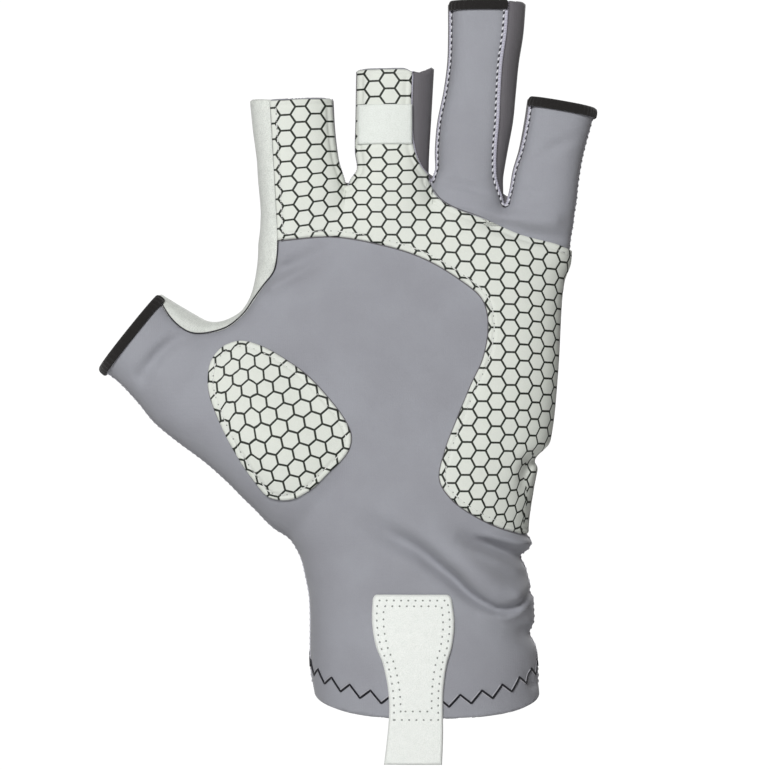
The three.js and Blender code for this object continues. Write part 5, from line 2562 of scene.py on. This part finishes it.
@dataclass
class CuffZigzag:
    """The black zigzag stitching round the hem of the cuff, with its pale under thread.

    Attributes:
        form: The hand form.
        low: Its height over the cuff's edge at the middle of the front.
        high: Its height at the sides and the back.
        swing: How far it swings up and down.
        period: The length of one swing.
        thread: The thread's thickness.
    """

    form: HandForm
    low: float = 4.4
    high: float = 9.3
    swing: float = 1.55
    period: float = 6.9
    thread: float = 0.68

    def place(self, turn: Array, height: Array, out: float) -> Array:
        """Points on the cuff at angles round it and heights over its slanting edge.

        A ray from the middle of the cuff is halved until it ends on the cloth.

        Args:
            turn: The angles.
            height: The heights.
            out: How far out from the cloth.

        Returns:
            The points, a row each.
        """
        tilt = math.radians(CUFF_TILT)
        level = self.form.palm.column("front", 0.0) * math.tan(tilt)

        def points(reach: Array) -> Array:
            """The points that far from the middle."""
            y = reach * np.sin(turn)
            z = level + (height + y * math.sin(tilt)) / math.cos(tilt)
            return np.stack([reach * np.cos(turn), y, z], axis=1)

        ends = np.zeros_like(turn), np.full_like(turn, 60.0)
        return points(halved(lambda reach: self.form.at(points(reach)) > out, *ends))

    def build(self) -> None:
        """Lays both threads round the cuff: the height swings evenly along the way round."""
        turn = np.linspace(0, 2 * np.pi, 4001)[:-1]
        front = np.clip(-np.sin(turn), 0, 1) ** 1.5
        middle = self.high + (self.low - self.high) * front
        ring = self.place(turn, middle, 0.0)
        run = run_lengths(ring)
        count = round(run[-1] / self.period)
        phase = run / run[-1] * count + 0.18
        for name, shift, size, yarn, tint in (
            ("cuff_zigzag", 0.0, self.thread, "zigzag_thread", (26, 27, 34)),
            ("cuff_under_thread", 0.09, 0.5 * self.thread, "under_thread", (190, 190, 196)),
        ):
            wave = phase + shift
            saw = 4 * np.abs(wave - np.floor(wave + 0.5)) - 1
            points = self.place(turn, middle + self.swing * saw, 0.1 - shift)
            points = even(points, 0.35)
            line = Route(points, self.form.normals(points))
            sew(name, [cord(line, size, size, 6)], yarn, tint, Slot.KNIT)


@dataclass
class Studio:
    """A plain pale floor, soft lights and the camera.

    Attributes:
        reach: From the camera to the middle of the hand.
        centre: What the camera looks at, in x and z.
        half_view: Half of what the picture shows there.
        lamps: The lights' names, places and sizes in metres, powers in watts, and tints.
        ambient: The strength of the light from all round.
        warm: Its tint.
        white: How much brighter the room looks to the camera.
    """

    reach: float = 1200.0
    centre: tuple[float, float] = (-12.4, 101.1)
    half_view: float = 119.35
    lamps: tuple[tuple[str, Triple, float, float, Triple], ...] = (
        ("key_light", (-0.3, -1.18, 0.72), 0.4, 16.2, (1.0, 1.0, 1.0)),
        ("left_light", (-1.4, -0.6, 0.35), 1.0, 0.4, (0.97, 0.98, 1.0)),
        ("back_light", (0.3, 1.3, 0.6), 0.8, 12.0, (1.0, 1.0, 1.0)),
    )
    ambient: float = 0.055
    warm: Colour = (1.0, 0.9, 0.86, 1.0)
    white: float = 0.99

    def build(self) -> None:
        """Makes the floor, the lights, the world and the camera."""
        scene = bpy.context.scene
        scene.view_settings.view_transform = "Standard"
        self.floor()
        for lamp in self.lamps:
            self.light(*lamp)
        world = bpy.data.worlds.new("white_room")
        scene.world = world
        world.use_nodes = True
        tree, sky = Tree(world.node_tree), world.node_tree.nodes["Background"].inputs
        seen = tree.add("LightPath", out="Is Camera Ray")
        tree.join(tree.math("MULTIPLY_ADD", seen, self.white, self.ambient), sky["Strength"])
        tree.join(tree.mix(seen, self.warm, (1.0, 1.0, 1.0, 1.0)), sky["Color"])
        camera = bpy.data.objects.new("camera", bpy.data.cameras.new("camera"))
        scene.collection.objects.link(camera)
        camera.data.angle = 2 * math.atan(self.half_view / self.reach)
        camera.location = (self.centre[0] * METRES, -self.reach * METRES, self.centre[1] * METRES)
        camera.rotation_euler = (math.pi / 2, 0, 0)
        camera.data.clip_end = 50
        scene.camera = camera

    def floor(self) -> None:
        """A wide pale disc well under the glove."""
        turn = np.linspace(0, 2 * np.pi, 97)[:-1]
        reach, down = 2600.0, -300.0
        points = np.stack([reach * np.cos(turn), reach * np.sin(turn), np.full(96, down)], axis=1)
        made = make_object("floor", points, [np.arange(96)[None]])
        nodes = Nodes("floor_paint")
        grain = nodes.noise(nodes.objects(), 0.02)
        paint = nodes.mix(grain, colour(246, 246, 246), colour(240, 240, 240))
        made.data.materials.append(nodes.finish(paint, 0.9))

    def light(self, name: str, place: Triple, size: float, power: float, tint: Triple) -> None:
        """A square soft light that faces the glove.

        Args:
            name: Its name.
            place: Where it is, in metres.
            size: How long its sides are, in metres.
            power: Its power in watts.
            tint: Its colour.
        """
        lamp = bpy.data.lights.new(name, "AREA")
        lamp.size, lamp.energy, lamp.color = size, power, tint
        made = bpy.data.objects.new(name, lamp)
        bpy.context.scene.collection.objects.link(made)
        made.location = place
        aim = np.array([self.centre[0] * METRES, 0, self.centre[1] * METRES]) - np.array(place)
        made.rotation_euler = Vector(aim).to_track_quat("-Z", "Y").to_euler()


def main() -> None:
    """Builds the glove and the studio."""
    logging.basicConfig(level=logging.INFO, format="%(name)s %(message)s")
    form = HandForm()
    body = ClothBody(form)
    body.build()
    GripCloth(body).build()
    FingerBand(form).build()
    PullTab(form).build()
    Bindings(form).build()
    SideSeams(form).build()
    CuffZigzag(form).build()
    Studio().build()


if __name__ == "__main__":
    main()
